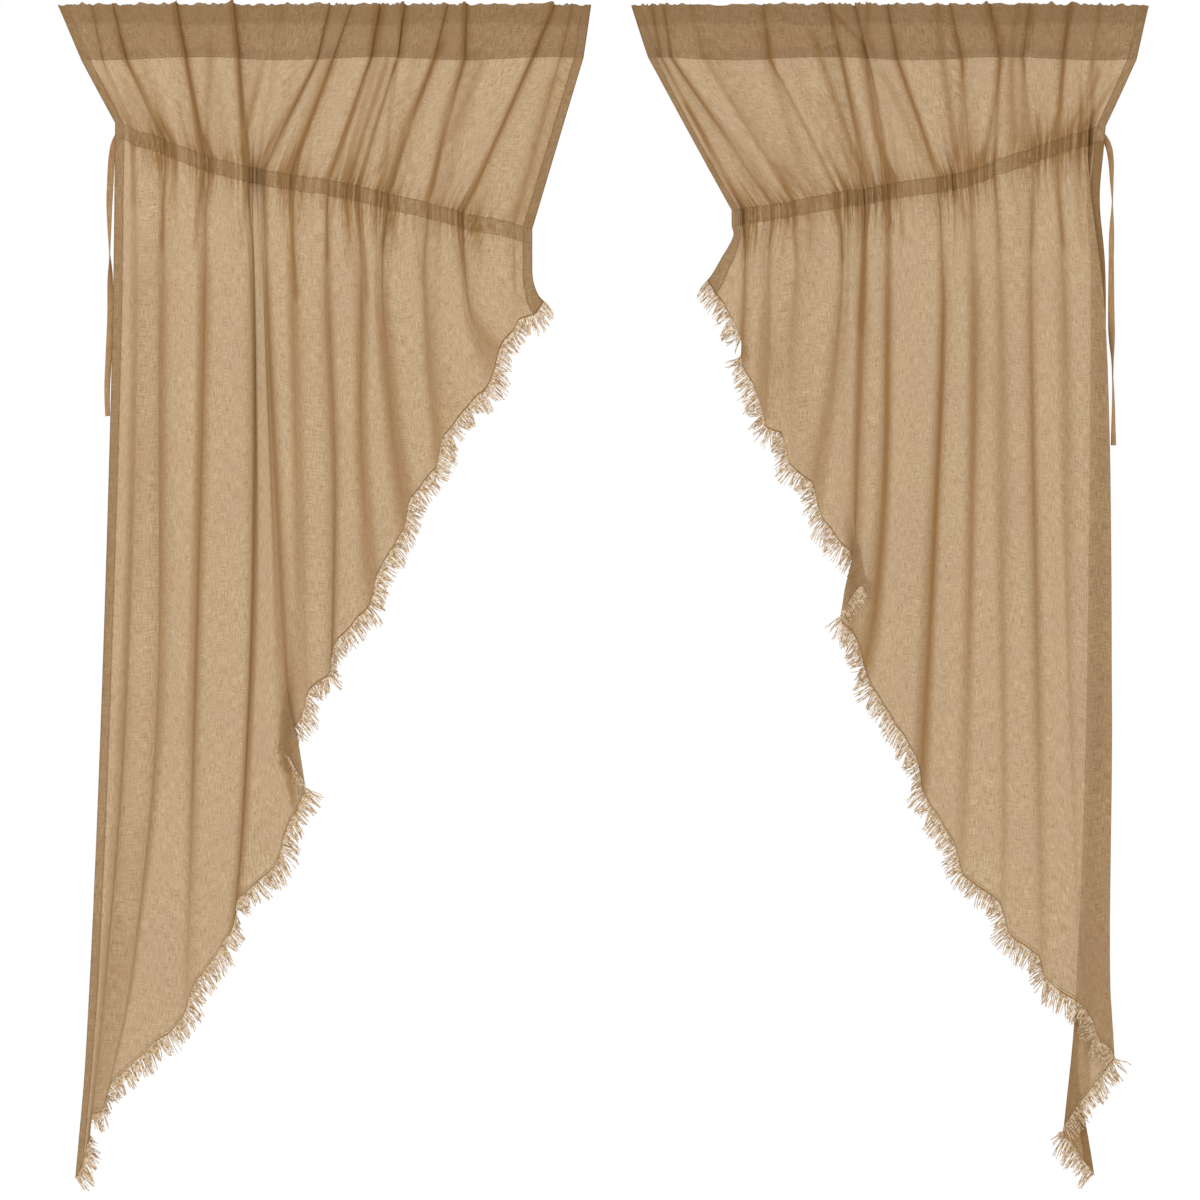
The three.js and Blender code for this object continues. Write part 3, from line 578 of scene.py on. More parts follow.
def seam_wave(out):
    """How far the pocket's seam is above its mean height."""
    return SEAM_WAVE * np.sin(out / SEAM_WAVE_RADIUS)


def waves(position, lengths, seed):
    """Uneven ripples: one sine for each wavelength, with its own phase, each as high as the others."""
    rng = np.random.default_rng(seed)
    phases = rng.uniform(0, 2 * np.pi, len(lengths))
    return [np.sin(2 * np.pi * position / length + phase) for length, phase in zip(lengths, phases)]


def uneven_waves(position, lengths, seed):
    """Sines whose place wanders, so that no two crests are equally far apart."""
    wander = sum(waves(position, WANDER_LENGTHS, seed + WANDER_SEED))
    return waves(position + WANDER * wander, lengths, seed)


def puffs(position, lengths, seed):
    """Gathers for each wavelength: narrow ridges between wide hollows, 2.2 exp(1.6 (sine - 1)) - 0.9."""
    sines = uneven_waves(position, lengths, seed)
    return [PUFF_HEIGHT * np.exp(PUFF_SHARPNESS * (sine - 1)) + PUFF_MIDDLE for sine in sines]


def crease_height(creases, x, z):
    """Height of the creases at each point: a bell curve across each crease line that fades at its ends."""
    height = np.zeros_like(x)
    for stands, half_width, points in creases:
        line_x, line_z = from_photo(points)
        away = (x - np.interp(z, line_z[::-1], line_x[::-1])) / (CREASE_WIDENING * half_width)
        foot = smooth(z, line_z[-1] + CREASE_FOOT[0], line_z[-1] + CREASE_FOOT[1])
        head = smooth(z, line_z[0] + CREASE_HEAD[0], line_z[0] + CREASE_HEAD[1])
        height = np.maximum(height, stands * np.exp(-(away**2)) * foot * (1 - head))
    return height


def pocket_section():
    """The pocket from its turned-under edge up the back, over the rod and down the front to the seam.
    Gives each row's height, the cloth's Y there, the share of the folds' depth that it takes, the share by
    which folds stand up, and the front's first row. The crown is half an ellipse."""
    stretches = UNDER_ROWS, BACK_ROWS, FRONT_ROWS
    under, back, front = (np.concatenate([np.linspace(*rows) for rows in stretch]) for stretch in stretches)
    over = np.linspace(0, np.pi, CROWN_ROWS + 2)[1:-1]
    parts = [len(under), len(back), len(over), len(front)]
    z = [under, back, CROWN_START + CROWN * np.sin(over), front]
    y = [
        np.full(parts[0], UNDER_Y), np.interp(back, BACK_HEIGHTS, BACK_Y), HALF_DEPTH * np.cos(over),
        np.interp(front, FRONT_HEIGHTS, FRONT_Y),
    ]
    share = [
        np.full(parts[0], UNDER_SHARE), np.interp(back, BACK_HEIGHTS, BACK_SHARE),
        CROWN_SHARE * np.cos(over) + CROWN_SHARE_MIDDLE, np.interp(front, FRONT_SHARE_HEIGHTS, FRONT_SHARE),
    ]
    rise = np.repeat([0.0, 0.0, CROWN_RISE, 0.0], parts)
    return np.concatenate(z), np.concatenate(y), np.concatenate(share), rise, sum(parts[:3])


class PanelSurface:
    """The whole panel as a grid of points in mm, [row, column, xyz], and what its looks and trimmings need.

    Columns run along the cloth from the inner hem's raw edge to the outer one's: beyond the two side edges
    the cloth is folded back behind itself. Rows run from the turned-under edge at the pocket's back seam up,
    over the rod, down to the seam, and through the fan and the casing to the cut edge.
    """

    def __init__(self, panel, settings):
        self.panel, self.settings, self.seed = panel, settings, panel["seed"]
        beyond = HEM * np.arange(1, HEM_COLUMNS + 1) / HEM_COLUMNS
        across = np.linspace(0, CLOTH_WIDTH, CLOTH_COLUMNS)
        self.turned = turned = np.concatenate([-beyond[::-1], across, CLOTH_WIDTH + beyond])
        self.cloth = np.abs(np.where(turned > CLOTH_WIDTH, 2 * CLOTH_WIDTH - turned, turned))
        self.from_side = np.minimum(self.cloth, CLOTH_WIDTH - self.cloth)
        self.folds = dict(zip(COLUMNS, np.array(panel["folds"], float).T))
        self.folds["hang"] = self.folds["height"] - CASING_WIDTH / 2 - self.cut_edge(self.folds["cloth"])
        # Height of the casing's middle line at each column
        knots, heights = self.folds["cloth"][None], self.folds["height"][None]
        self.middle = rounded_polyline(knots, heights, self.cloth, CASING_BEND_RADIUS)[0]
        self.down = np.linspace(0, 1, BODY_ROWS) ** BODY_CROWDING
        self.lay_rows()
        self.gather()
        self.shade()

    def cut_edge(self, cloth):
        """Height of the cut edge at distances along the cloth: a straight slant."""
        return lerp(*self.panel["ends"], cloth / CLOTH_WIDTH)

    def ripple(self, kind, position, shape=waves):
        """The sum of one kind of ripple at each position."""
        height, lengths, more_seed = RIPPLES[kind]
        return height * sum(shape(position, lengths, self.seed + more_seed))

    def lay_rows(self):
        """Lays the pocket, the fan, the casing's band and the body below each other in one grid, and notes
        their first rows. Out of the panel's middle is +X here for both panels."""
        folds, cloth = self.folds, self.cloth
        *section, self.front_row = pocket_section()
        self.top_row = self.front_row - (CROWN_ROWS + 1) // 2
        z, y, share, rise = (values[:, None] for values in section)
        level = np.clip((ROD_HALF_HEIGHT - z) / (ROD_HALF_HEIGHT - SEAM_HEIGHT), 0, 1)
        out, depth = head_course(folds, level[:, 0], cloth)
        pocket = np.stack([out, y + share * depth, z + rise * depth + level * seam_wave(out)], -1)

        way = np.linspace(0, 1, FAN_ROWS)
        out, depth = head_course(folds, 1 + way, cloth)
        top = SEAM_HEIGHT + seam_wave(out)
        height = lerp(top, self.middle + CASING_WIDTH / 2, way[:, None])
        fan = np.stack([out, HANGING_Y - depth, height], -1)

        out, depth = body_course(folds, self.down, cloth)
        height = lerp(self.middle - CASING_WIDTH / 2, self.cut_edge(cloth), self.down[:, None])
        body = np.stack([out, HANGING_Y - depth, height], -1)
        if self.panel["side"] > 0:
            near_waist = np.exp(-(((self.down[:, None] - DRAWN_AT) / DRAWN_OVER) ** 2))
            body[..., 0] -= DRAWN_IN * near_waist * smooth(cloth, *DRAWN_CLOTH)

        band = lerp(fan[-1], body[0], np.linspace(0, 1, CASING_ROWS + 2)[1:-1, None, None])
        self.grid = np.concatenate([pocket, fan, band, body])
        self.fan_row = len(pocket)
        self.casing_row = self.fan_row + FAN_ROWS - 1
        self.body_row = self.casing_row + CASING_ROWS + 1

    def gather(self):
        """Presses the creases, draws the cloth together at the casing and lets it hang in soft waves.
        Gathers and pinches are waves along the cloth that fade with the distance from the casing's band, by
        exp(-distance / reach), and that are stronger where they crowd. Gathers move the cloth; pinches and
        the hollows between gathers are painted shade only, dark lines and patches for the cloth's colour. A
        pinch is exp(sharpness (sine - 1)), with the sharpness that makes it as narrow as its width. `free` is
        0 in the pocket and 1 below it."""
        grid, cloth, panel = self.grid, self.cloth, self.panel
        x, z = panel["side"] * grid[..., 0], grid[..., 2]
        upper = slice(self.top_row + 1, self.body_row + CREASED_BODY_ROWS)
        self.crease = np.zeros(x.shape)
        self.crease[upper] = crease_height(panel["creases"], x[upper], z[upper]) * self.settings.crease_height
        self.from_casing = np.maximum(np.abs(z - self.middle) - CASING_WIDTH / 2, 0)
        self.below = z < self.middle
        self.free = np.ones((len(grid), 1))
        self.free[: self.fan_row - FREE_ROWS] = 0
        self.free[self.fan_row - FREE_ROWS : self.fan_row, 0] = np.linspace(0, 1, FREE_ROWS)
        places = (np.array(panel["crowded"]) - PHOTO_MIDDLE_X) * PHOTO_MM_PER_PIXEL
        crowd = sum(np.exp(-(((x - place) / CROWD_WIDTH) ** 2)) for place in places)
        self.crowded = (CROWD_LEAST + CROWD_MORE * np.tanh(crowd)) * smooth(self.from_side, *CALM_EDGE)
        self.drifted = cloth + DRIFT * np.sin(z / DRIFT_RADIUS + self.seed)

        swayed = cloth + SWAY * np.sin(z / SWAY_RADIUS)
        gathers = sum(
            (GATHER_BASE + GATHER_GROWTH * length) * puff * self.fading(*np.multiply(GATHER_REACH, length))
            for length, puff in zip(GATHER_LENGTHS, puffs(swayed, GATHER_LENGTHS, self.seed))
        )
        gathers *= GATHER_SHARE * self.crowded * self.free * self.settings.gather_height
        at_casing = np.minimum(self.crowded, 1) * self.free
        # Painted shade in the hollows between gathers near the casing
        self.hollow = smooth(-gathers, *HOLLOW) * np.exp(-self.from_casing / HOLLOW_REACH) * at_casing
        # Pinches: painted shade, narrow dark lines beside the casing; the cloth isn't moved by them
        self.pinch_shade = np.zeros(x.shape)
        _, lengths, more_seed = RIPPLES["pinch"]
        for length, wave in zip(lengths, uneven_waves(swayed, lengths, self.seed + more_seed)):
            sharp = max(PINCH_SHARPNESS, (length / (2 * np.pi * PINCH_WIDTH)) ** 2)
            pinch = np.exp(sharp * (wave - 1)) * self.fading(*np.multiply(PINCH_REACH, length))
            self.pinch_shade = np.maximum(self.pinch_shade, pinch)
        self.pinch_shade *= np.minimum(self.crowded + CROWD_PINCHED, 1) * self.free

        soft = self.ripple("soft", self.drifted) * smooth(self.from_casing, *SOFT_BAND) * self.free
        forward = np.ones((len(grid), 1))
        forward[: self.front_row] = BACK_CREASE
        grid[..., 1] += -forward * self.crease - gathers + soft
        ruffled = HEADER_CREASE * self.crease + self.ripple("header", cloth, puffs)
        grid[..., 2] += ruffled * smooth(grid[..., 2], *HEADER_BAND)
        puckers = self.ripple("pucker", cloth) * np.minimum(self.crowded, CROWD_MOST)
        grid[..., 2] += puckers * np.exp(-self.from_casing / PUCKER_REACH) * self.free
        wavering = smooth(self.down[:, None], *EDGE_WAVERS)
        grid[self.body_row :, :, 2] += self.ripple("cut edge", cloth) * wavering

        over_edge = np.maximum(-self.turned, self.turned - CLOTH_WIDTH)
        behind = LAYER_GAP * smooth(over_edge, 0, HEM_BEND)
        grid[: self.top_row, :, 1] -= behind
        grid[self.top_row :, :, 1] += behind
        grid[..., 0] *= panel["side"]

    def fading(self, below, above):
        """Falls from 1 at the casing's band with the distance from it: exp(-distance / reach)."""
        return np.exp(-self.from_casing / np.where(self.below, below, above))

    def fold_bands(self):
        """Painted shade: a soft dark band along each fold, as exp(-|distance in front view / half width| ^
        power). It gets stronger with the fold's depth, and wider where the fold opens."""
        folds, room = self.folds, np.diff(self.folds["cloth"])
        hip = np.abs(folds["hipDepth"][1:-1])
        strength = np.tile(DARK["fold above"] * (1 - np.exp(-hip / BAND_DEPTHS[0])), (len(self.grid), 1))
        opened = np.zeros(strength.shape)
        opened[self.body_row :] = smooth(self.down[:, None] * folds["hang"][1:-1], 0, 2 * OPENING)
        depth = np.maximum(body_depths(folds, self.down)[:, 1:-1], 0) / BAND_DEPTHS[1]
        low = DARK["fold below"] * (1 - np.exp(-(depth**2)))
        strength[self.body_row :] = lerp(strength[self.body_row :], low, opened[self.body_row :])
        bands = np.zeros(self.grid.shape[:2])
        for i, place in enumerate(folds["cloth"][1:-1]):
            at_fold = self.grid[:, np.abs(self.turned - place).argmin()][:, :1]
            half_width = BAND_HALF_WIDTH + BAND_WIDENING * opened[:, i : i + 1]
            off = np.abs(self.grid[..., 0] - at_fold) / half_width
            own = np.abs(self.cloth - place) < BAND_ROOM * max(room[i], room[i + 1])
            bands = np.maximum(bands, own * strength[:, i : i + 1] * np.exp(-(off**BAND_POWER)))
        return bands

    def shade(self):
        """Painted shade for the cloth's colour and glow, which also closes the weave's gaps: how tightly the
        cloth is folded or doubled as seen from the front, where less light comes through, partly the real
        density of doubled cloth, and shade painted into steep cloth, folds, creases, hollows, pinches, the
        pocket and over the rod.
        `steep` is 1 less the share of the cloth's run that the front view shows."""
        grid, folds, cloth = self.grid, self.folds, self.cloth
        run = np.gradient(grid, axis=1)
        steep = 1 - np.abs(run[..., 0]) / np.maximum(np.linalg.norm(run[..., :2], axis=-1), 1e-6)
        steep[self.body_row :] *= DARK["steep in body"]
        fold = DARK["steep"] * steep + DARK["crease"] * self.crease + DARK["hollow"] * self.hollow
        fold += self.ripple("shade", self.drifted) * self.free + self.fold_bands()
        # Painted shade over the turned-back cloth and the hems, partly the real density of cloth that lies
        # doubled
        turned_back = folds["cloth"][folds["hipDepth"] < 0]
        if len(turned_back):
            fold[self.body_row :] += DARK["turned back"] * (cloth > turned_back[0])
        fold += DARK["hem"] * (self.from_side < HEM)
        # Painted shade above the casing and in the doubled pocket, more where the rod lies behind the cloth
        fold[: self.casing_row] += DARK["above casing"]
        on_rod = np.abs(grid[: self.fan_row, :, 2]) < ROD_HALF_HEIGHT
        fold[: self.fan_row] += DARK["pocket"] + DARK["rod"] * on_rod
        bell = np.hanning(2 * SPREAD_COLUMNS + 1)
        padded = np.pad(fold, ((0, 0), (SPREAD_COLUMNS, SPREAD_COLUMNS)), mode="edge")
        spread = sum(w * padded[:, i : i + fold.shape[1]] for i, w in enumerate(bell / bell.sum()))
        fold = DARK["own"] * fold + DARK["spread"] * spread + DARK["pinch"] * self.pinch_shade
        self.fold = np.clip(fold, 0, 1)
        # Where the material paints fine gather lines of shade
        self.painted_gather_lines = self.fading(*GATHER_FADE) * np.clip(self.crowded, 0, CROWD_MOST) * self.free
        down = np.linalg.norm(np.diff(grid, axis=0), axis=-1)
        self.from_edge = np.concatenate([np.cumsum(down[::-1], axis=0)[::-1], np.zeros((1, len(cloth)))])
        apart = np.linalg.norm(np.diff(grid[self.body_row :], axis=1), axis=-1).mean(0)
        woven = np.broadcast_to(np.concatenate([[0], np.cumsum(apart)]), self.from_edge.shape)
        self.uv = np.stack([woven, self.from_edge.max(0) - self.from_edge], -1)


@functools.cache
def surface_of(name):
    """The surface of the panel of this name, worked out once."""
    return PanelSurface(PANELS[name], bpy.context.scene.curtain_cloth)


def grid_faces(rows, columns, flip=False):
    """Quads over a grid of points listed row by row."""
    a = (np.arange(rows - 1)[:, None] * columns + np.arange(columns - 1)).ravel()
    quads = np.stack([a, a + columns, a + columns + 1, a + 1], -1)
    return quads[:, ::-1] if flip else quads


def mesh_piece(name, points_mm, quads, material, replaced=None):
    """A mesh object from points in mm and quads, shaded smooth, with its material, slot and body. It replaces
    the CAD node of the given name."""
    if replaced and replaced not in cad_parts:
        raise RuntimeError(f"the frame has no {replaced}, which {name} should replace")
    mesh = bpy.data.meshes.new(name)
    mesh.vertices.add(len(points_mm))
    mesh.vertices.foreach_set("co", (np.asarray(points_mm, np.float32) * MM).ravel())
    mesh.loops.add(4 * len(quads))
    mesh.loops.foreach_set("vertex_index", np.asarray(quads, np.int32).ravel())
    mesh.polygons.add(len(quads))
    mesh.polygons.foreach_set("loop_start", np.arange(0, 4 * len(quads), 4, dtype=np.int32))
    mesh.polygons.foreach_set("use_smooth", np.ones(len(quads), bool))
    mesh.update()
    mesh.validate()
    mesh.materials.append(material_of(material))
    piece = bpy.data.objects.new(name, mesh)
    bpy.context.scene.collection.objects.link(piece)
    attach(piece, "root")
    if replaced:
        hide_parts(replaced)
    return piece


def set_uv(piece, name, uv_mm):
    """Gives the piece a UV map in metres of cloth from one pair of values for each vertex."""
    layer = piece.data.uv_layers.new(name=name)
    corner = np.empty(len(piece.data.loops), np.int32)
    piece.data.loops.foreach_get("vertex_index", corner)
    layer.data.foreach_set("uv", (np.reshape(uv_mm, (-1, 2)).astype(np.float32) * MM)[corner].ravel())


def set_values(piece, **values):
    """Gives the piece numbers for each vertex, under names that its material reads."""
    for name, numbers in values.items():
        attribute = piece.data.attributes.new(name, "FLOAT", "POINT")
        attribute.data.foreach_set("value", np.asarray(numbers, np.float32).ravel())


def tubes(centres, radii, sides=3):
    """Many thin tubes at once. centres is [tube, step, xyz] and radii [tube, step]; each ring is a regular
    polygon square to its tube's course."""
    count, steps, _ = centres.shape
    along = unit(np.gradient(centres, axis=1))
    up = unit(np.cross(along, TUBE_REFERENCE))
    across = np.cross(along, up)
    angle = np.arange(sides) * 2 * np.pi / sides
    ring = np.cos(angle)[:, None] * up[:, :, None, :] + np.sin(angle)[:, None] * across[:, :, None, :]
    points = (centres[:, :, None, :] + ring * radii[:, :, None, None]).reshape(-1, 3)
    first = (np.arange(count)[:, None, None] * steps + np.arange(steps - 1)[None, :, None]) * sides
    side = np.arange(sides)
    a, b = first + side, first + (side + 1) % sides
    return points, np.stack([a, b, b + sides, a + sides], -1).reshape(-1, 4)


def sample(grid, row, column):
    """Points of a grid at rows and columns that needn't be whole, by bilinear interpolation."""
    row = np.clip(row, 0, grid.shape[0] - 1.001)
    column = np.clip(column, 0, grid.shape[1] - 1.001)
    r, c = row.astype(int), column.astype(int)
    fr, fc = (row - r)[:, None], (column - c)[:, None]
    return lerp(lerp(grid[r, c], grid[r, c + 1], fc), lerp(grid[r + 1, c], grid[r + 1, c + 1], fc), fr)


def along_line(grid, row, column, pitch):
    """Evenly spaced points on the surface along a line of rows and columns, with the line's course there."""
    line = sample(grid, row, column)
    run = run_along(line)
    where = np.arange(pitch, run[-1] - pitch, pitch)
    points = at_distance(where, run, line)
    return points, unit(at_distance(where + 0.5, run, line) - points)


def add_node(tree, kind, inputs=(), out=0, **settings):
    """Adds a shader node with its settings, sets or links its inputs and gives one of its outputs. The inputs
    are in a dictionary by name, or in a list from the first one on."""
    node = tree.nodes.new("ShaderNode" + kind)
    for key, value in settings.items():
        setattr(node, key, value)
    for key, value in inputs.items() if isinstance(inputs, dict) else enumerate(inputs):
        if isinstance(value, bpy.types.NodeSocket):
            tree.links.new(value, node.inputs[key])
        else:
            node.inputs[key].default_value = value
    return node.outputs[out] if len(node.outputs) else None


def new_tree(name):
    """An empty node material and its tree."""
    material = bpy.data.materials.new(name)
    material.use_nodes = True
    material.node_tree.nodes.clear()
    return material, material.node_tree


def two_tone(tree, value, low, high, colour, other, most=1.0):
    """Goes from one colour to the other as the value goes from low to high, up to the share `most`."""
    share = add_node(tree, "MapRange", [value, low, high, 0.0, most])
    return add_node(tree, "Mix", {"Factor": share, "A": colour, "B": other}, "Result", data_type="RGBA")


def lit_through(tree, surface, glow, share):
    """A surface of which a share lets light through to the other side."""
    front = add_node(tree, "BsdfPrincipled", surface)
    return add_node(tree, "MixShader", [share, front, add_node(tree, "BsdfTranslucent", glow)])


def weave_value(tree, vector):
    """Uneven threads of a plain weave, as numbers about 0.5: streaks along the warp and along the weft."""
    per_metre = 1 / (THREAD_SPACING * MM)
    streaks = []
    for scale in ((per_metre, per_metre / SLUB, 1), (per_metre / SLUB, per_metre, 1)):
        place = add_node(tree, "Mapping", {"Vector": vector, "Scale": scale})
        pattern = {"Vector": place, "Scale": 1.0, "Detail": 2.0, "Roughness": 0.6}
        streaks.append(add_node(tree, "TexNoise", pattern))
    total = add_node(tree, "Math", streaks, operation="ADD")
    return add_node(tree, "Math", [total, 0.5], operation="MULTIPLY")


def cotton_voile(settings):
    """Sheer plain-weave cotton, yarn-dyed tan and crinkled by washing.
    The eye sees a dull cloth that glows where light comes through it, darkens where layers or folds lie over
    each other, and has slubs that run both ways. That darkening is painted shade from the fold value, partly
    the
    real density of doubled cloth: it turns the colour and the glow to darker browns and closes the weave's
    gaps.
    Fine gathers are painted shade too: dark lines along the middle lines of a noise that is drawn out down
    the cloth. The rolled cut edge is dark. The threads are drawn coarser than the real ones."""
    material, tree = new_tree("cotton_voile_woven_washed")
    uv = add_node(tree, "UVMap", uv_map="cloth")
    fold, gather, from_edge = (
        add_node(tree, "Attribute", out="Fac", attribute_name=name) for name in ("fold", "gather", "edge")
    )
    weave = weave_value(tree, uv)
    wandering = {"Vector": uv, "Scale": WANDER_PER_METRE, "Detail": 2.0, "Roughness": 0.5}
    wander = add_node(tree, "TexNoise", wandering, "Color")
    shifted = add_node(tree, "VectorMath", [wander, (GATHER_WANDER, 0.0, 0.0), uv], operation="MULTIPLY_ADD")
    drawn = add_node(tree, "Mapping", {"Vector": shifted, "Scale": GATHERS_PER_METRE})
    crinkle = add_node(tree, "TexNoise", {"Vector": drawn, "Scale": 1.0, "Detail": 1.5, "Roughness": 0.5})
    off_middle = add_node(tree, "Math", [crinkle, 0.5], operation="SUBTRACT")
    off_line = add_node(tree, "Math", [off_middle], operation="ABSOLUTE")
    line = add_node(tree, "MapRange", [off_line, 0.0, GATHER_LINE, 1.0, 0.0])
    # Fine gather lines of painted shade, as strong as the gather value
    pinch_shade = add_node(tree, "Math", [line, gather], operation="MULTIPLY")
    darker = [pinch_shade, DARK["fine gather"], fold]
    fold = add_node(tree, "Math", darker, operation="MULTIPLY_ADD", use_clamp=True)
    rolled = add_node(tree, "MapRange", [from_edge, *ROLLED_EDGE, DARK["rolled edge"], 0.0])
    fold = add_node(tree, "Math", [fold, rolled], operation="MAXIMUM")
    dyed = {"Vector": uv, "Scale": DYE_PER_METRE, "Detail": 3.0, "Roughness": 0.55}
    cloudy = add_node(tree, "TexNoise", dyed)
    face = two_tone(tree, weave, 0.36, 0.64, settings.cloth_dark, settings.cloth_light)
    tinted = two_tone(tree, cloudy, 0.35, 0.7, face, linear(HEX["worn patch"]), 0.35)
    # Painted shade: the colour and the glow turn to the folded browns as the fold value rises
    shaded = two_tone(tree, fold, 0.1, 0.9, tinted, linear(HEX["folded"]), 0.85)
    glow = two_tone(tree, fold, 0.1, 0.9, settings.cloth_glow, linear(HEX["glow in painted fold shade"]), 0.9)
    bump = add_node(tree, "Bump", {"Height": weave, "Strength": 0.35, "Distance": THREAD_HEIGHT})
    face_on = {"Base Color": shaded, "Roughness": 0.88, "Normal": bump, "Specular IOR Level": 0.1}
    threads = lit_through(tree, face_on, {"Color": glow, "Normal": bump}, THROUGH["voile"])
    gaps = add_node(tree, "BsdfTransparent", {"Color": linear(HEX["gap"])})
    least, most = (settings.open_share * factor for factor in OPEN_SPREAD)
    open_weave = add_node(tree, "MapRange", [weave, 0.3, 0.7, least, most])
    unfolded = add_node(tree, "MapRange", [fold, *FOLD_CLOSES])
    see_through = add_node(tree, "Math", [open_weave, unfolded], operation="MULTIPLY")
    cloth = add_node(tree, "MixShader", [see_through, threads, gaps])
    add_node(tree, "OutputMaterial", {"Surface": cloth})
    return material


def loose_yarn(settings):
    """Single cotton yarns pulled free of the weave.
    They look paler than the cloth, matt and fluffy, and each is a little lighter or darker than the next."""
    material, tree = new_tree("cotton_yarn_frayed")
    place = add_node(tree, "TexCoord", out="Object")
    shade = add_node(tree, "TexNoise", {"Vector": place, "Scale": YARN_PER_METRE, "Detail": 2.0})
    colour = two_tone(tree, shade, 0.35, 0.65, settings.yarn_dark, settings.yarn_light)
    matt = {"Base Color": colour, "Roughness": 0.92, "Sheen Weight": 0.25, "Specular IOR Level": 0.2}
    add_node(tree, "OutputMaterial", {"Surface": lit_through(tree, matt, {"Color": colour}, THROUGH["yarn"])})
    return material


def doubled_cotton(name, colours, uv_name):
    """The same cotton folded double and stitched into a flat band, or spun into a sewing thread.
    It is closed and matt, with the weave's slubs along it."""
    material, tree = new_tree(name)
    vector = (
        add_node(tree, "UVMap", uv_map=uv_name) if uv_name else add_node(tree, "TexCoord", out="Object")
    )
    weave = weave_value(tree, vector)
    colour = two_tone(tree, weave, 0.35, 0.65, *map(linear, HEX[colours]))
    bump = add_node(tree, "Bump", {"Height": weave, "Strength": 0.5, "Distance": THREAD_HEIGHT})
    matt = {"Base Color": colour, "Roughness": 0.9, "Normal": bump}
    matt |= {"Sheen Weight": 0.1, "Specular IOR Level": 0.2}
    surface = lit_through(tree, matt, {"Color": colour}, THROUGH["doubled"])
    add_node(tree, "OutputMaterial", {"Surface": surface})
    return material


def enamelled_steel():
    """Rolled steel strip with a baked brown enamel: smooth and half glossy, a little uneven in its coat."""
    material, tree = new_tree("rolled_steel_brown_enamel")
    place = add_node(tree, "TexCoord", out="Object")
    coat = add_node(tree, "TexNoise", {"Vector": place, "Scale": COAT_PER_METRE, "Detail": 3.0})
    colour = two_tone(tree, coat, 0.35, 0.65, *map(linear, HEX["enamel"]))
    bump = add_node(tree, "Bump", {"Height": coat, "Strength": 0.2, "Distance": COAT_HEIGHT})
    gloss = add_node(tree, "MapRange", [coat, 0.3, 0.7, 0.3, 0.42])
    surface = add_node(tree, "BsdfPrincipled", {"Base Color": colour, "Roughness": gloss, "Normal": bump})
    add_node(tree, "OutputMaterial", {"Surface": surface})
    return material


@functools.cache
def material_of(name):
    """A material by its short name, made once."""
    cloth, trim = bpy.context.scene.curtain_cloth, bpy.context.scene.curtain_trim
    makers = {
        "voile": lambda: cotton_voile(cloth),
        "yarn": lambda: loose_yarn(trim),
        "tape": lambda: doubled_cotton("cotton_tape_folded_double", "tape", "tape"),
        "sewing": lambda: doubled_cotton("cotton_sewing_thread_spun", "sewing", None),
        "enamel": enamelled_steel,
    }
    return makers[name]()


def colour_setting(name, description, hex_colour):
    """A colour that a user can change."""
    return bpy.props.FloatVectorProperty(
        name=name, description=description, subtype="COLOR", size=4, min=0, max=1, default=linear(hex_colour)
    )


def number_setting(name, description, low, high, default, **kind):
    """A size or share that a user can change, with its subtype or unit."""
    return bpy.props.FloatProperty(
        name=name, description=description, min=low, max=high, default=default, **kind
    )


class CurtainClothSettings(bpy.types.PropertyGroup):
    """Looks and folds of the two cloth panels."""

    cloth_light: colour_setting("Light threads", "Colour of the cloth's lighter threads", "#C4A883")
    cloth_dark: colour_setting("Dark threads", "Colour of the cloth's darker threads", "#866A46")
    cloth_glow: colour_setting("Glow", "Colour of the light that comes through the threads", "#AD9069")
    open_share: number_setting(
        "Open share", "Share of the cloth that is open between its threads", 0, 1, 0.115, subtype="FACTOR"
    )
    crease_height: number_setting("Creases", "Factor for the height of the pressed creases", 0, 2, 0.8)
    gather_height: number_setting("Gathers", "Factor for the height of the gathers at the casing", 0, 2, 1.1)


class CurtainTrimSettings(bpy.types.PropertyGroup):
    """Fringe and ties."""

    yarn_light: colour_setting("Light yarn", "Colour of the fringe's lighter yarns", "#F2DDBB")
    yarn_dark: colour_setting("Dark yarn", "Colour of the fringe's darker yarns", "#BE9A6C")
    yarn_length: number_setting(
        "Yarn length", "Length of the fringe's longest yarns", 0.005, 0.06, 0.026, unit="LENGTH"
    )
    yarn_spacing: number_setting(
        "Yarn spacing", "Distance between two yarns along the edge", 0.001, 0.01, 0.00135, unit="LENGTH"
    )
    tie_width: number_setting("Tie width", "Width of the flat tie", 0.003, 0.03, 0.009, unit="LENGTH")


class CurtainStageSettings(bpy.types.PropertyGroup):
    """Camera, light and floor."""

    camera_distance: number_setting(
        "Camera distance", "From the camera to the cloth", 1, 20, 5.0, unit="LENGTH"
    )
    key_power: number_setting(
        "Key light", "Power of the large soft light at the front", 0, 500, 45.0, unit="POWER"
    )
    floor_drop: number_setting(
        "Floor", "How far the floor is below the lowest thread", 0, 1, 0.15, unit="LENGTH"
    )


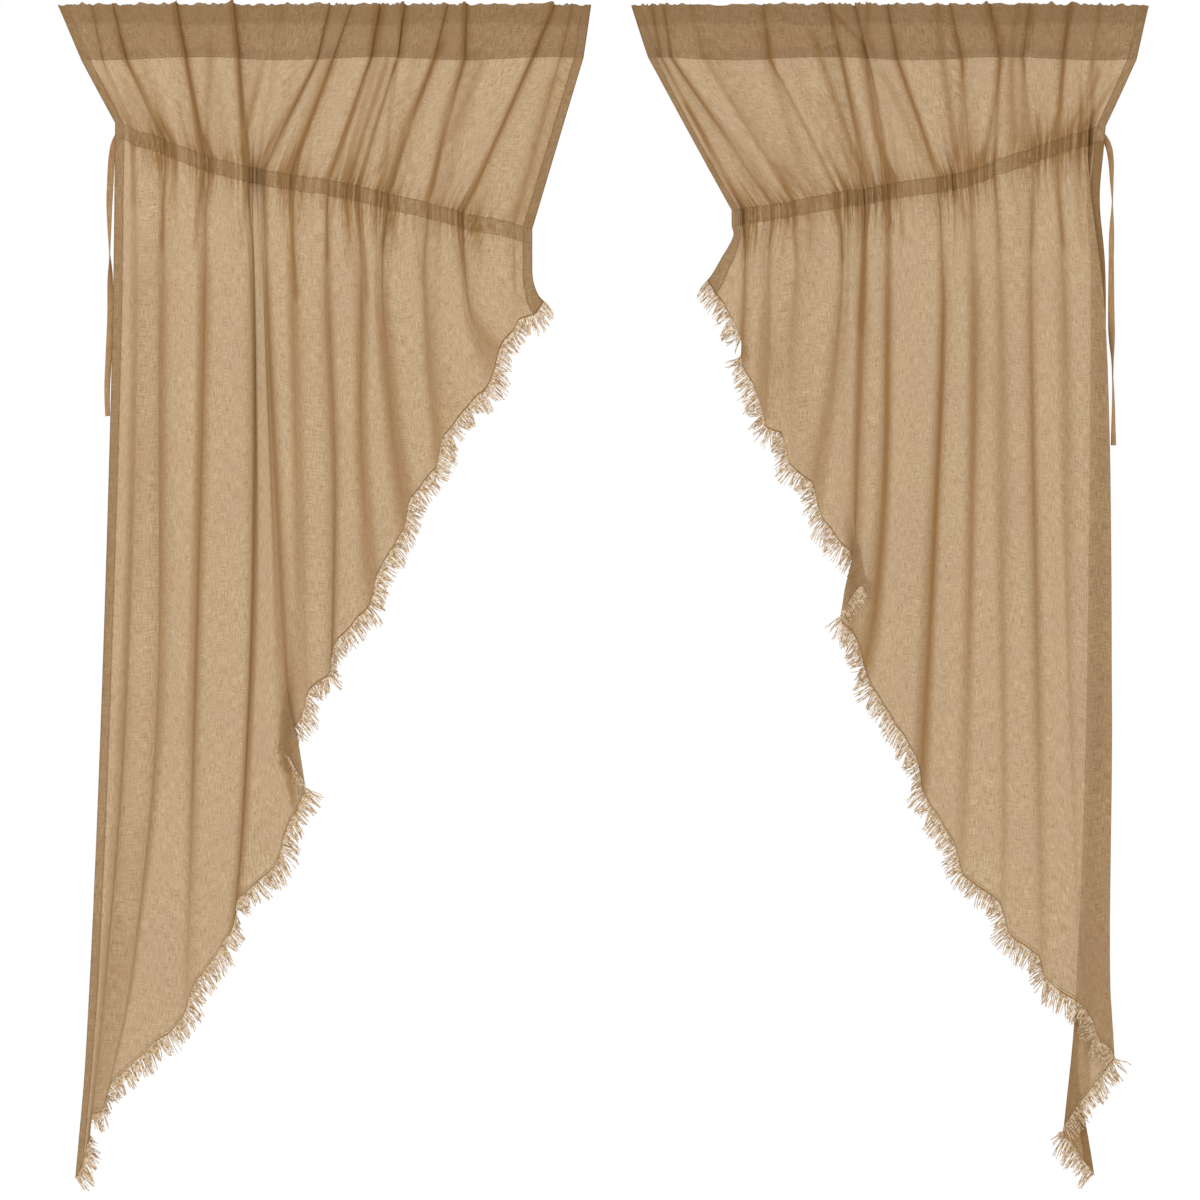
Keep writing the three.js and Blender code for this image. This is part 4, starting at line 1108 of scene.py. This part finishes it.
class CURTAIN_OT_stage(bpy.types.Operator):
    """Sets up the pale floor, the soft light and the front camera."""

    bl_idname = "curtain.stage"
    bl_label = "Stage"

    def execute(self, context):
        scene, settings = context.scene, context.scene.curtain_stage
        centre_z = (PHOTO_ROD_Y - PHOTO_SIZE / 2) * PHOTO_MM_PER_PIXEL * MM
        camera_data = bpy.data.cameras.new("front_camera")
        camera_data.sensor_width = SENSOR_WIDTH
        view_width = PHOTO_SIZE * PHOTO_MM_PER_PIXEL * MM
        camera_data.lens = SENSOR_WIDTH * settings.camera_distance / view_width
        camera_data.clip_end = 10 * settings.camera_distance
        camera = bpy.data.objects.new("front_camera", camera_data)
        camera.location = (0, -settings.camera_distance + HANGING_Y * MM, centre_z)
        camera.rotation_euler = (math.pi / 2, 0, 0)
        scene.collection.objects.link(camera)
        scene.camera = camera

        scene.world = bpy.data.worlds.new("white_studio")
        scene.world.use_nodes = True
        background = scene.world.node_tree.nodes["Background"]
        background.inputs["Color"].default_value = (1, 1, 1, 1)
        background.inputs["Strength"].default_value = 1.0
        scene.view_settings.view_transform = "Standard"
        for name, (place, power_share, size) in LIGHTS.items():
            light_data = bpy.data.lights.new(name, "AREA")
            light_data.energy, light_data.size = settings.key_power * power_share, size
            light = bpy.data.objects.new(name, light_data)
            light.location = place
            aim = Vector((0, 0, centre_z)) - light.location
            light.rotation_euler = aim.to_track_quat("-Z", "Y").to_euler()
            scene.collection.objects.link(light)

        floor_z = CAD_BOUNDS[0][2] - settings.floor_drop
        half_width, front, back = FLOOR
        corners = [(-half_width, front), (half_width, front), (half_width, back), (-half_width, back)]
        mesh = bpy.data.meshes.new("floor")
        mesh.from_pydata([(x, y, floor_z) for x, y in corners], [], [(0, 1, 2, 3)])
        material, tree = new_tree("floor_matt_white_paint")
        paint = add_node(tree, "BsdfPrincipled", {"Base Color": linear(HEX["floor"]), "Roughness": 0.9})
        add_node(tree, "OutputMaterial", {"Surface": paint})
        mesh.materials.append(material)
        floor = bpy.data.objects.new("floor", mesh)
        scene.collection.objects.link(floor)
        return {"FINISHED"}


def softened(values, span):
    """Values along a line, each the mean of its neighbours up to `span` steps away, weighted by a bell."""
    bell = np.hanning(2 * span + 1)
    padded = np.pad(values, ((span, span), (0, 0)), mode="edge")
    return np.stack([np.convolve(column, bell / bell.sum(), "valid") for column in padded.T], -1)


class CURTAIN_OT_ties(bpy.types.Operator):
    """Hangs the flat end of each drawstring from its casing, with a twist or two."""

    bl_idname = "curtain.ties"
    bl_label = "Ties"

    def execute(self, context):
        width = context.scene.curtain_trim.tie_width / MM
        for name, panel in PANELS.items():
            piece, route, length = self.ribbon(name, panel, width)
        return {"FINISHED"}

    @staticmethod
    def ribbon(name, panel, width):
        """A flat rounded section carried down the tie's route. The section's long side starts square to the
        route in the cloth's plane, and is turned about the route by the angles of the panel's table. Its half
        sides are powers of the cosine and the sine below 1, which make it nearly a box with round edges."""
        points = np.array([(x, panel["tie_y"], z) for x, z in panel["tie"]], float)
        run = run_along(points)
        down = np.linspace(0, run[-1], TIE_RINGS)
        route = softened(at_distance(down, run, points), TIE_SOFTNESS)
        along = unit(np.gradient(route, axis=0))
        flat = unit(np.cross(along, [0.0, 1.0, 0.0]))
        square = np.cross(along, flat)
        stops, angles = np.array(panel["tie_turns"], float).T
        turn = softened(np.radians(np.interp(down, stops, angles))[:, None], TIE_SOFTNESS)
        wide, thin = np.cos(turn) * flat + np.sin(turn) * square, np.cos(turn) * square - np.sin(turn) * flat
        angle = np.arange(TIE_SIDES) * 2 * np.pi / TIE_SIDES
        half_wide = np.sign(np.cos(angle)) * np.abs(np.cos(angle)) ** TIE_POWERS[0] * width / 2
        half_thin = np.sign(np.sin(angle)) * np.abs(np.sin(angle)) ** TIE_POWERS[1] * TIE_HALF_THICKNESS
        curl = TIE_CURL * (half_wide / (width / 2)) ** 2 * np.sin(down / TIE_CURL_RADIUS)[:, None]
        neck = TIE_NECK + (1 - TIE_NECK) * np.abs(np.sin(down / TIE_NECK_RADIUS + TIE_NECK_START))
        body = route[:, None] + wide[:, None] * (half_wide * neck[:, None])[..., None]
        body += thin[:, None] * (half_thin + curl)[..., None]
        first, last = (lerp(body[i], route[i], TIE_END)[None] for i in (0, -1))
        faces = grid_faces(TIE_RINGS + 2, TIE_SIDES + 1)
        wrapped = (faces // (TIE_SIDES + 1)) * TIE_SIDES + (faces % (TIE_SIDES + 1)) % TIE_SIDES
        piece = mesh_piece(
            name + "_tie_ribbon", np.concatenate([first, body, last]).reshape(-1, 3), wrapped, "tape",
            name + "_tie",
        )
        around = np.arange(TIE_SIDES) * (2 * width / TIE_SIDES)
        set_uv(piece, "tape", np.stack(np.meshgrid(around, np.pad(down, 1, mode="edge")), -1))
        return piece, route, run[-1]


class CURTAIN_OT_panels(bpy.types.Operator):
    """Hangs the two cloth panels with their hems and rod pockets."""

    bl_idname = "curtain.panels"
    bl_label = "Cloth Panels"

    def execute(self, context):
        for name, panel in PANELS.items():
            made = surface_of(name)
            faces = grid_faces(*made.grid.shape[:2], flip=panel["side"] < 0)
            piece = mesh_piece(
                name + "_panel_cloth", made.grid.reshape(-1, 3), faces, "voile", name + "_panel"
            )
            set_uv(piece, "cloth", made.uv)
            # Painted shade and fine gather lines of painted shade for the material, and the distance from the
            # cut edge
            set_values(piece, fold=made.fold, gather=made.painted_gather_lines, edge=made.from_edge * MM)
        return {"FINISHED"}


class CURTAIN_OT_casings(bpy.types.Operator):
    """Sews the drawstring casings to the back of the panels."""

    bl_idname = "curtain.casings"
    bl_label = "Drawstring Casings"

    def execute(self, context):
        for name, panel in PANELS.items():
            made = surface_of(name)
            inside = np.flatnonzero((made.turned > CASING_INSET) & (made.turned < CLOTH_WIDTH - CASING_INSET))
            share = np.linspace(-CASING_OVERHANG, 1 + CASING_OVERHANG, CASING_STRIP_ROWS)
            row = made.casing_row + share * (made.body_row - made.casing_row)
            r, c = np.meshgrid(row, inside.astype(float), indexing="ij")
            band = sample(made.grid, r.ravel(), c.ravel()).reshape(len(row), len(inside), 3)
            lift = LAYER_GAP + CASING_BULGE * np.sin(np.pi * np.clip(share, 0, 1)) ** CASING_ROUNDNESS
            (wave,) = waves(made.cloth[inside], (CASING_PUCKER_LENGTH,), CASING_PUCKER_SEED)
            band[..., 1] += lift[:, None] + CASING_PUCKER * wave
            faces = grid_faces(*band.shape[:2], flip=panel["side"] > 0)
            piece = mesh_piece(
                name + "_casing_strip", band.reshape(-1, 3), faces, "voile", name + "_casing"
            )
            set_uv(piece, "cloth", np.stack(np.meshgrid(made.cloth[inside], share * CASING_STRIP_WIDTH), -1))
            even = np.ones(band.shape[:2])
            # Painted shade from the band's folds, and fine gather lines of painted shade
            fold = CASING_FOLD_SHARE * made.fold[made.casing_row + CASING_FOLD_ROW, inside] * even
            set_values(piece, fold=fold, gather=CASING_GATHERED * even, edge=even)
        return {"FINISHED"}


class CURTAIN_OT_fringes(bpy.types.Operator):
    """Combs the loose yarns out of the cut edges."""

    bl_idname = "curtain.fringes"
    bl_label = "Fringes"

    def execute(self, context):
        trim = context.scene.curtain_trim
        for name, panel in PANELS.items():
            spacing, longest = trim.yarn_spacing / MM, trim.yarn_length / MM
            long_points, long_quads = self.yarns(name, panel, spacing=spacing, longest=longest, **LONG_YARNS)
            points, quads = self.yarns(name, panel, **SHORT_YARNS)
            mesh_piece(
                name + "_fringe_yarns", np.concatenate([long_points, points]),
                np.concatenate([long_quads, quads + len(long_points)]), "yarn", name + "_fringe",
            )
        return {"FINISHED"}

    @staticmethod
    def yarns(name, panel, more_seed, spacing, longest, steps, radius):
        """Yarns that leave the edge nearly square to it, in the cloth's plane, and hang over into clumps.
        A yarn's place is its root plus its way times the distance along it, plus a pull to its clump's middle
        and a droop, both of which grow with the square of that distance, and a small wave."""
        made = surface_of(name)
        rng = np.random.default_rng(panel["seed"] * YARN_SEEDS + more_seed)
        inside = np.flatnonzero((made.turned >= 0) & (made.turned <= CLOTH_WIDTH))
        columns = np.linspace(inside[0], inside[-1], EDGE_POINTS)
        last = len(made.grid) - 1.0
        rows = (np.full(EDGE_POINTS, row) for row in (last, last - EDGE_ROWS))
        line, above = (sample(made.grid, row, columns) for row in rows)
        run = run_along(line)
        count = int(run[-1] / spacing)
        place = np.clip((np.arange(count) + rng.uniform(*YARN["place"], count)) * spacing, 0, run[-1] - 1)
        root = at_distance(place, run, line)
        hang = unit(root - at_distance(place, run, above))
        ahead, back = np.minimum(place + EDGE_REACH, run[-1]), np.maximum(place - EDGE_REACH, 0)
        edge = unit(at_distance(ahead, run, line) - at_distance(back, run, line))
        square = unit(hang - edge * (hang * edge).sum(-1, keepdims=True))
        way = unit(lerp(square, hang, rng.uniform(*YARN["hang"], count)[:, None]))
        widths = rng.uniform(*YARN["clump"], int(run[-1] / CLUMP_STEP))
        clump = np.searchsorted(np.cumsum(widths), place)
        clumps = clump.max() + 1
        if panel["side"] < 0:
            way[:, 0] = np.maximum(way[:, 0], LEFT_WAY_OUT)
        middle = np.bincount(clump, place) / np.maximum(np.bincount(clump), 1)
        clump_length = rng.uniform(*YARN["clump length"], clumps)[clump]
        clump_swing = rng.normal(0, CLUMP_SWING, clumps)[clump]
        length = longest * clump_length * rng.uniform(*YARN["length"], count)
        pull = (middle[clump] - place) * rng.uniform(*YARN["pull"], count) + clump_swing * length
        pull = pull + rng.normal(0, YARN_SWING, count) * length
        s = np.linspace(YARN_ROOT, 1, steps)[None, :, None]
        droop = np.array([0, 0, -YARN_DROOP]) * length[:, None, None]
        bent = edge[:, None] * pull[:, None, None] + droop
        each = (count, 1, 1)
        wave = rng.normal(0, YARN_WAVE, each) * np.sin(s * rng.uniform(*YARN["turns"], each))
        sideways = np.cross(edge, way)[:, None] + edge[:, None] * rng.normal(0, 1, each)
        centres = root[:, None] + way[:, None] * s * length[:, None, None] + bent * s**2 + sideways * wave
        radii = radius * rng.uniform(*YARN["thickness"], count)[:, None] * np.linspace(1, YARN_TIP, steps)
        return tubes(centres, radii)


class CURTAIN_OT_stitching(bpy.types.Operator):
    """Sews the seams: the pocket, the casing's two edges, the side hems and the line above the fringe."""

    bl_idname = "curtain.stitching"
    bl_label = "Stitching"

    def execute(self, context):
        for name in PANELS:
            centres = self.stitches(surface_of(name))
            points, quads = tubes(centres, np.full(centres.shape[:2], STITCH_RADIUS), sides=4)
            mesh_piece(name + "_stitches", points, quads, "sewing")
        return {"FINISHED"}

    @staticmethod
    def stitches(made):
        """Each stitch as four points along its seam: the ends lie in the cloth, the middle stands on it."""
        turned, rows = made.turned, len(made.grid)
        inside = np.flatnonzero((turned >= 0) & (turned <= CLOTH_WIDTH))
        across = np.linspace(inside[0] + 1, inside[-1] - 1, SEAM_POINTS[0])
        seam_rows = [made.fan_row - 1, made.casing_row, made.body_row, rows - 1 - FRINGE_SEAM_ROWS]
        from_edge = HEM - SEAM_INSET
        hem_columns = np.interp([from_edge, CLOTH_WIDTH - from_edge], turned, np.arange(len(turned)))
        down = np.linspace(made.front_row + 2, rows - 2, SEAM_POINTS[1])
        lines = [(np.full(len(across), float(row)), across) for row in seam_rows]
        lines += [(down, np.full(len(down), column)) for column in hem_columns]
        seams = []
        for row, column in lines:
            points, way = along_line(made.grid, row, column, STITCH_PITCH)
            half = way * STITCH_LENGTH / 2
            seams.append(np.stack([points - half, points - half / 2, points + half / 2, points + half], 1))
        centres = np.concatenate(seams)
        centres[..., 1] += np.array([STITCH_SINK, -STITCH_LIFT, -STITCH_LIFT, STITCH_SINK])
        return centres


class CURTAIN_OT_rods(bpy.types.Operator):
    """Enamels the flat rods that show through the pockets."""

    bl_idname = "curtain.rods"
    bl_label = "Flat Rods"

    def execute(self, context):
        for name in PANELS:
            if name + "_rod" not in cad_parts:
                raise RuntimeError(f"the frame has no {name}_rod")
            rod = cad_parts[name + "_rod"]
            rod.data.materials.clear()
            rod.data.materials.append(material_of("enamel"))
        return {"FINISHED"}


class CURTAIN_OT_declare(bpy.types.Operator):
    """An empty step: it changes nothing."""

    bl_idname = "curtain.declare"
    bl_label = "Cloth Sizes"

    def execute(self, context):
        return {"FINISHED"}


OPERATORS = [
    CURTAIN_OT_stage, CURTAIN_OT_ties, CURTAIN_OT_panels, CURTAIN_OT_casings, CURTAIN_OT_fringes,
    CURTAIN_OT_stitching, CURTAIN_OT_rods, CURTAIN_OT_declare,
]


class CURTAIN_PT_panel(bpy.types.Panel):
    """Lists the steps and their settings in the sidebar."""

    bl_idname = "CURTAIN_PT_panel"
    bl_label = "Short Sheer Curtains"
    bl_space_type = "VIEW_3D"
    bl_region_type = "UI"
    bl_category = "Curtains"

    def draw(self, context):
        for group in SETTINGS:
            settings = getattr(context.scene, group)
            box = self.layout.box()
            for name in settings.__annotations__:
                box.prop(settings, name)
        for operator in OPERATORS:
            self.layout.operator(operator.bl_idname)


SETTINGS = {
    "curtain_cloth": CurtainClothSettings,
    "curtain_trim": CurtainTrimSettings,
    "curtain_stage": CurtainStageSettings,
}


def register():
    """Makes the steps and settings known to Blender."""
    for cls in [*SETTINGS.values(), *OPERATORS, CURTAIN_PT_panel]:
        bpy.utils.register_class(cls)
    for name, cls in SETTINGS.items():
        setattr(bpy.types.Scene, name, bpy.props.PointerProperty(type=cls))


def unregister():
    """Takes them away again."""
    for name in SETTINGS:
        delattr(bpy.types.Scene, name)
    for cls in reversed([*SETTINGS.values(), *OPERATORS, CURTAIN_PT_panel]):
        bpy.utils.unregister_class(cls)


def main():
    """Registers the steps and settings, then builds everything in order."""
    register()
    for operator in OPERATORS:
        family, name = operator.bl_idname.split(".")
        getattr(getattr(bpy.ops, family), name)()


if __name__ == "__main__":
    main()
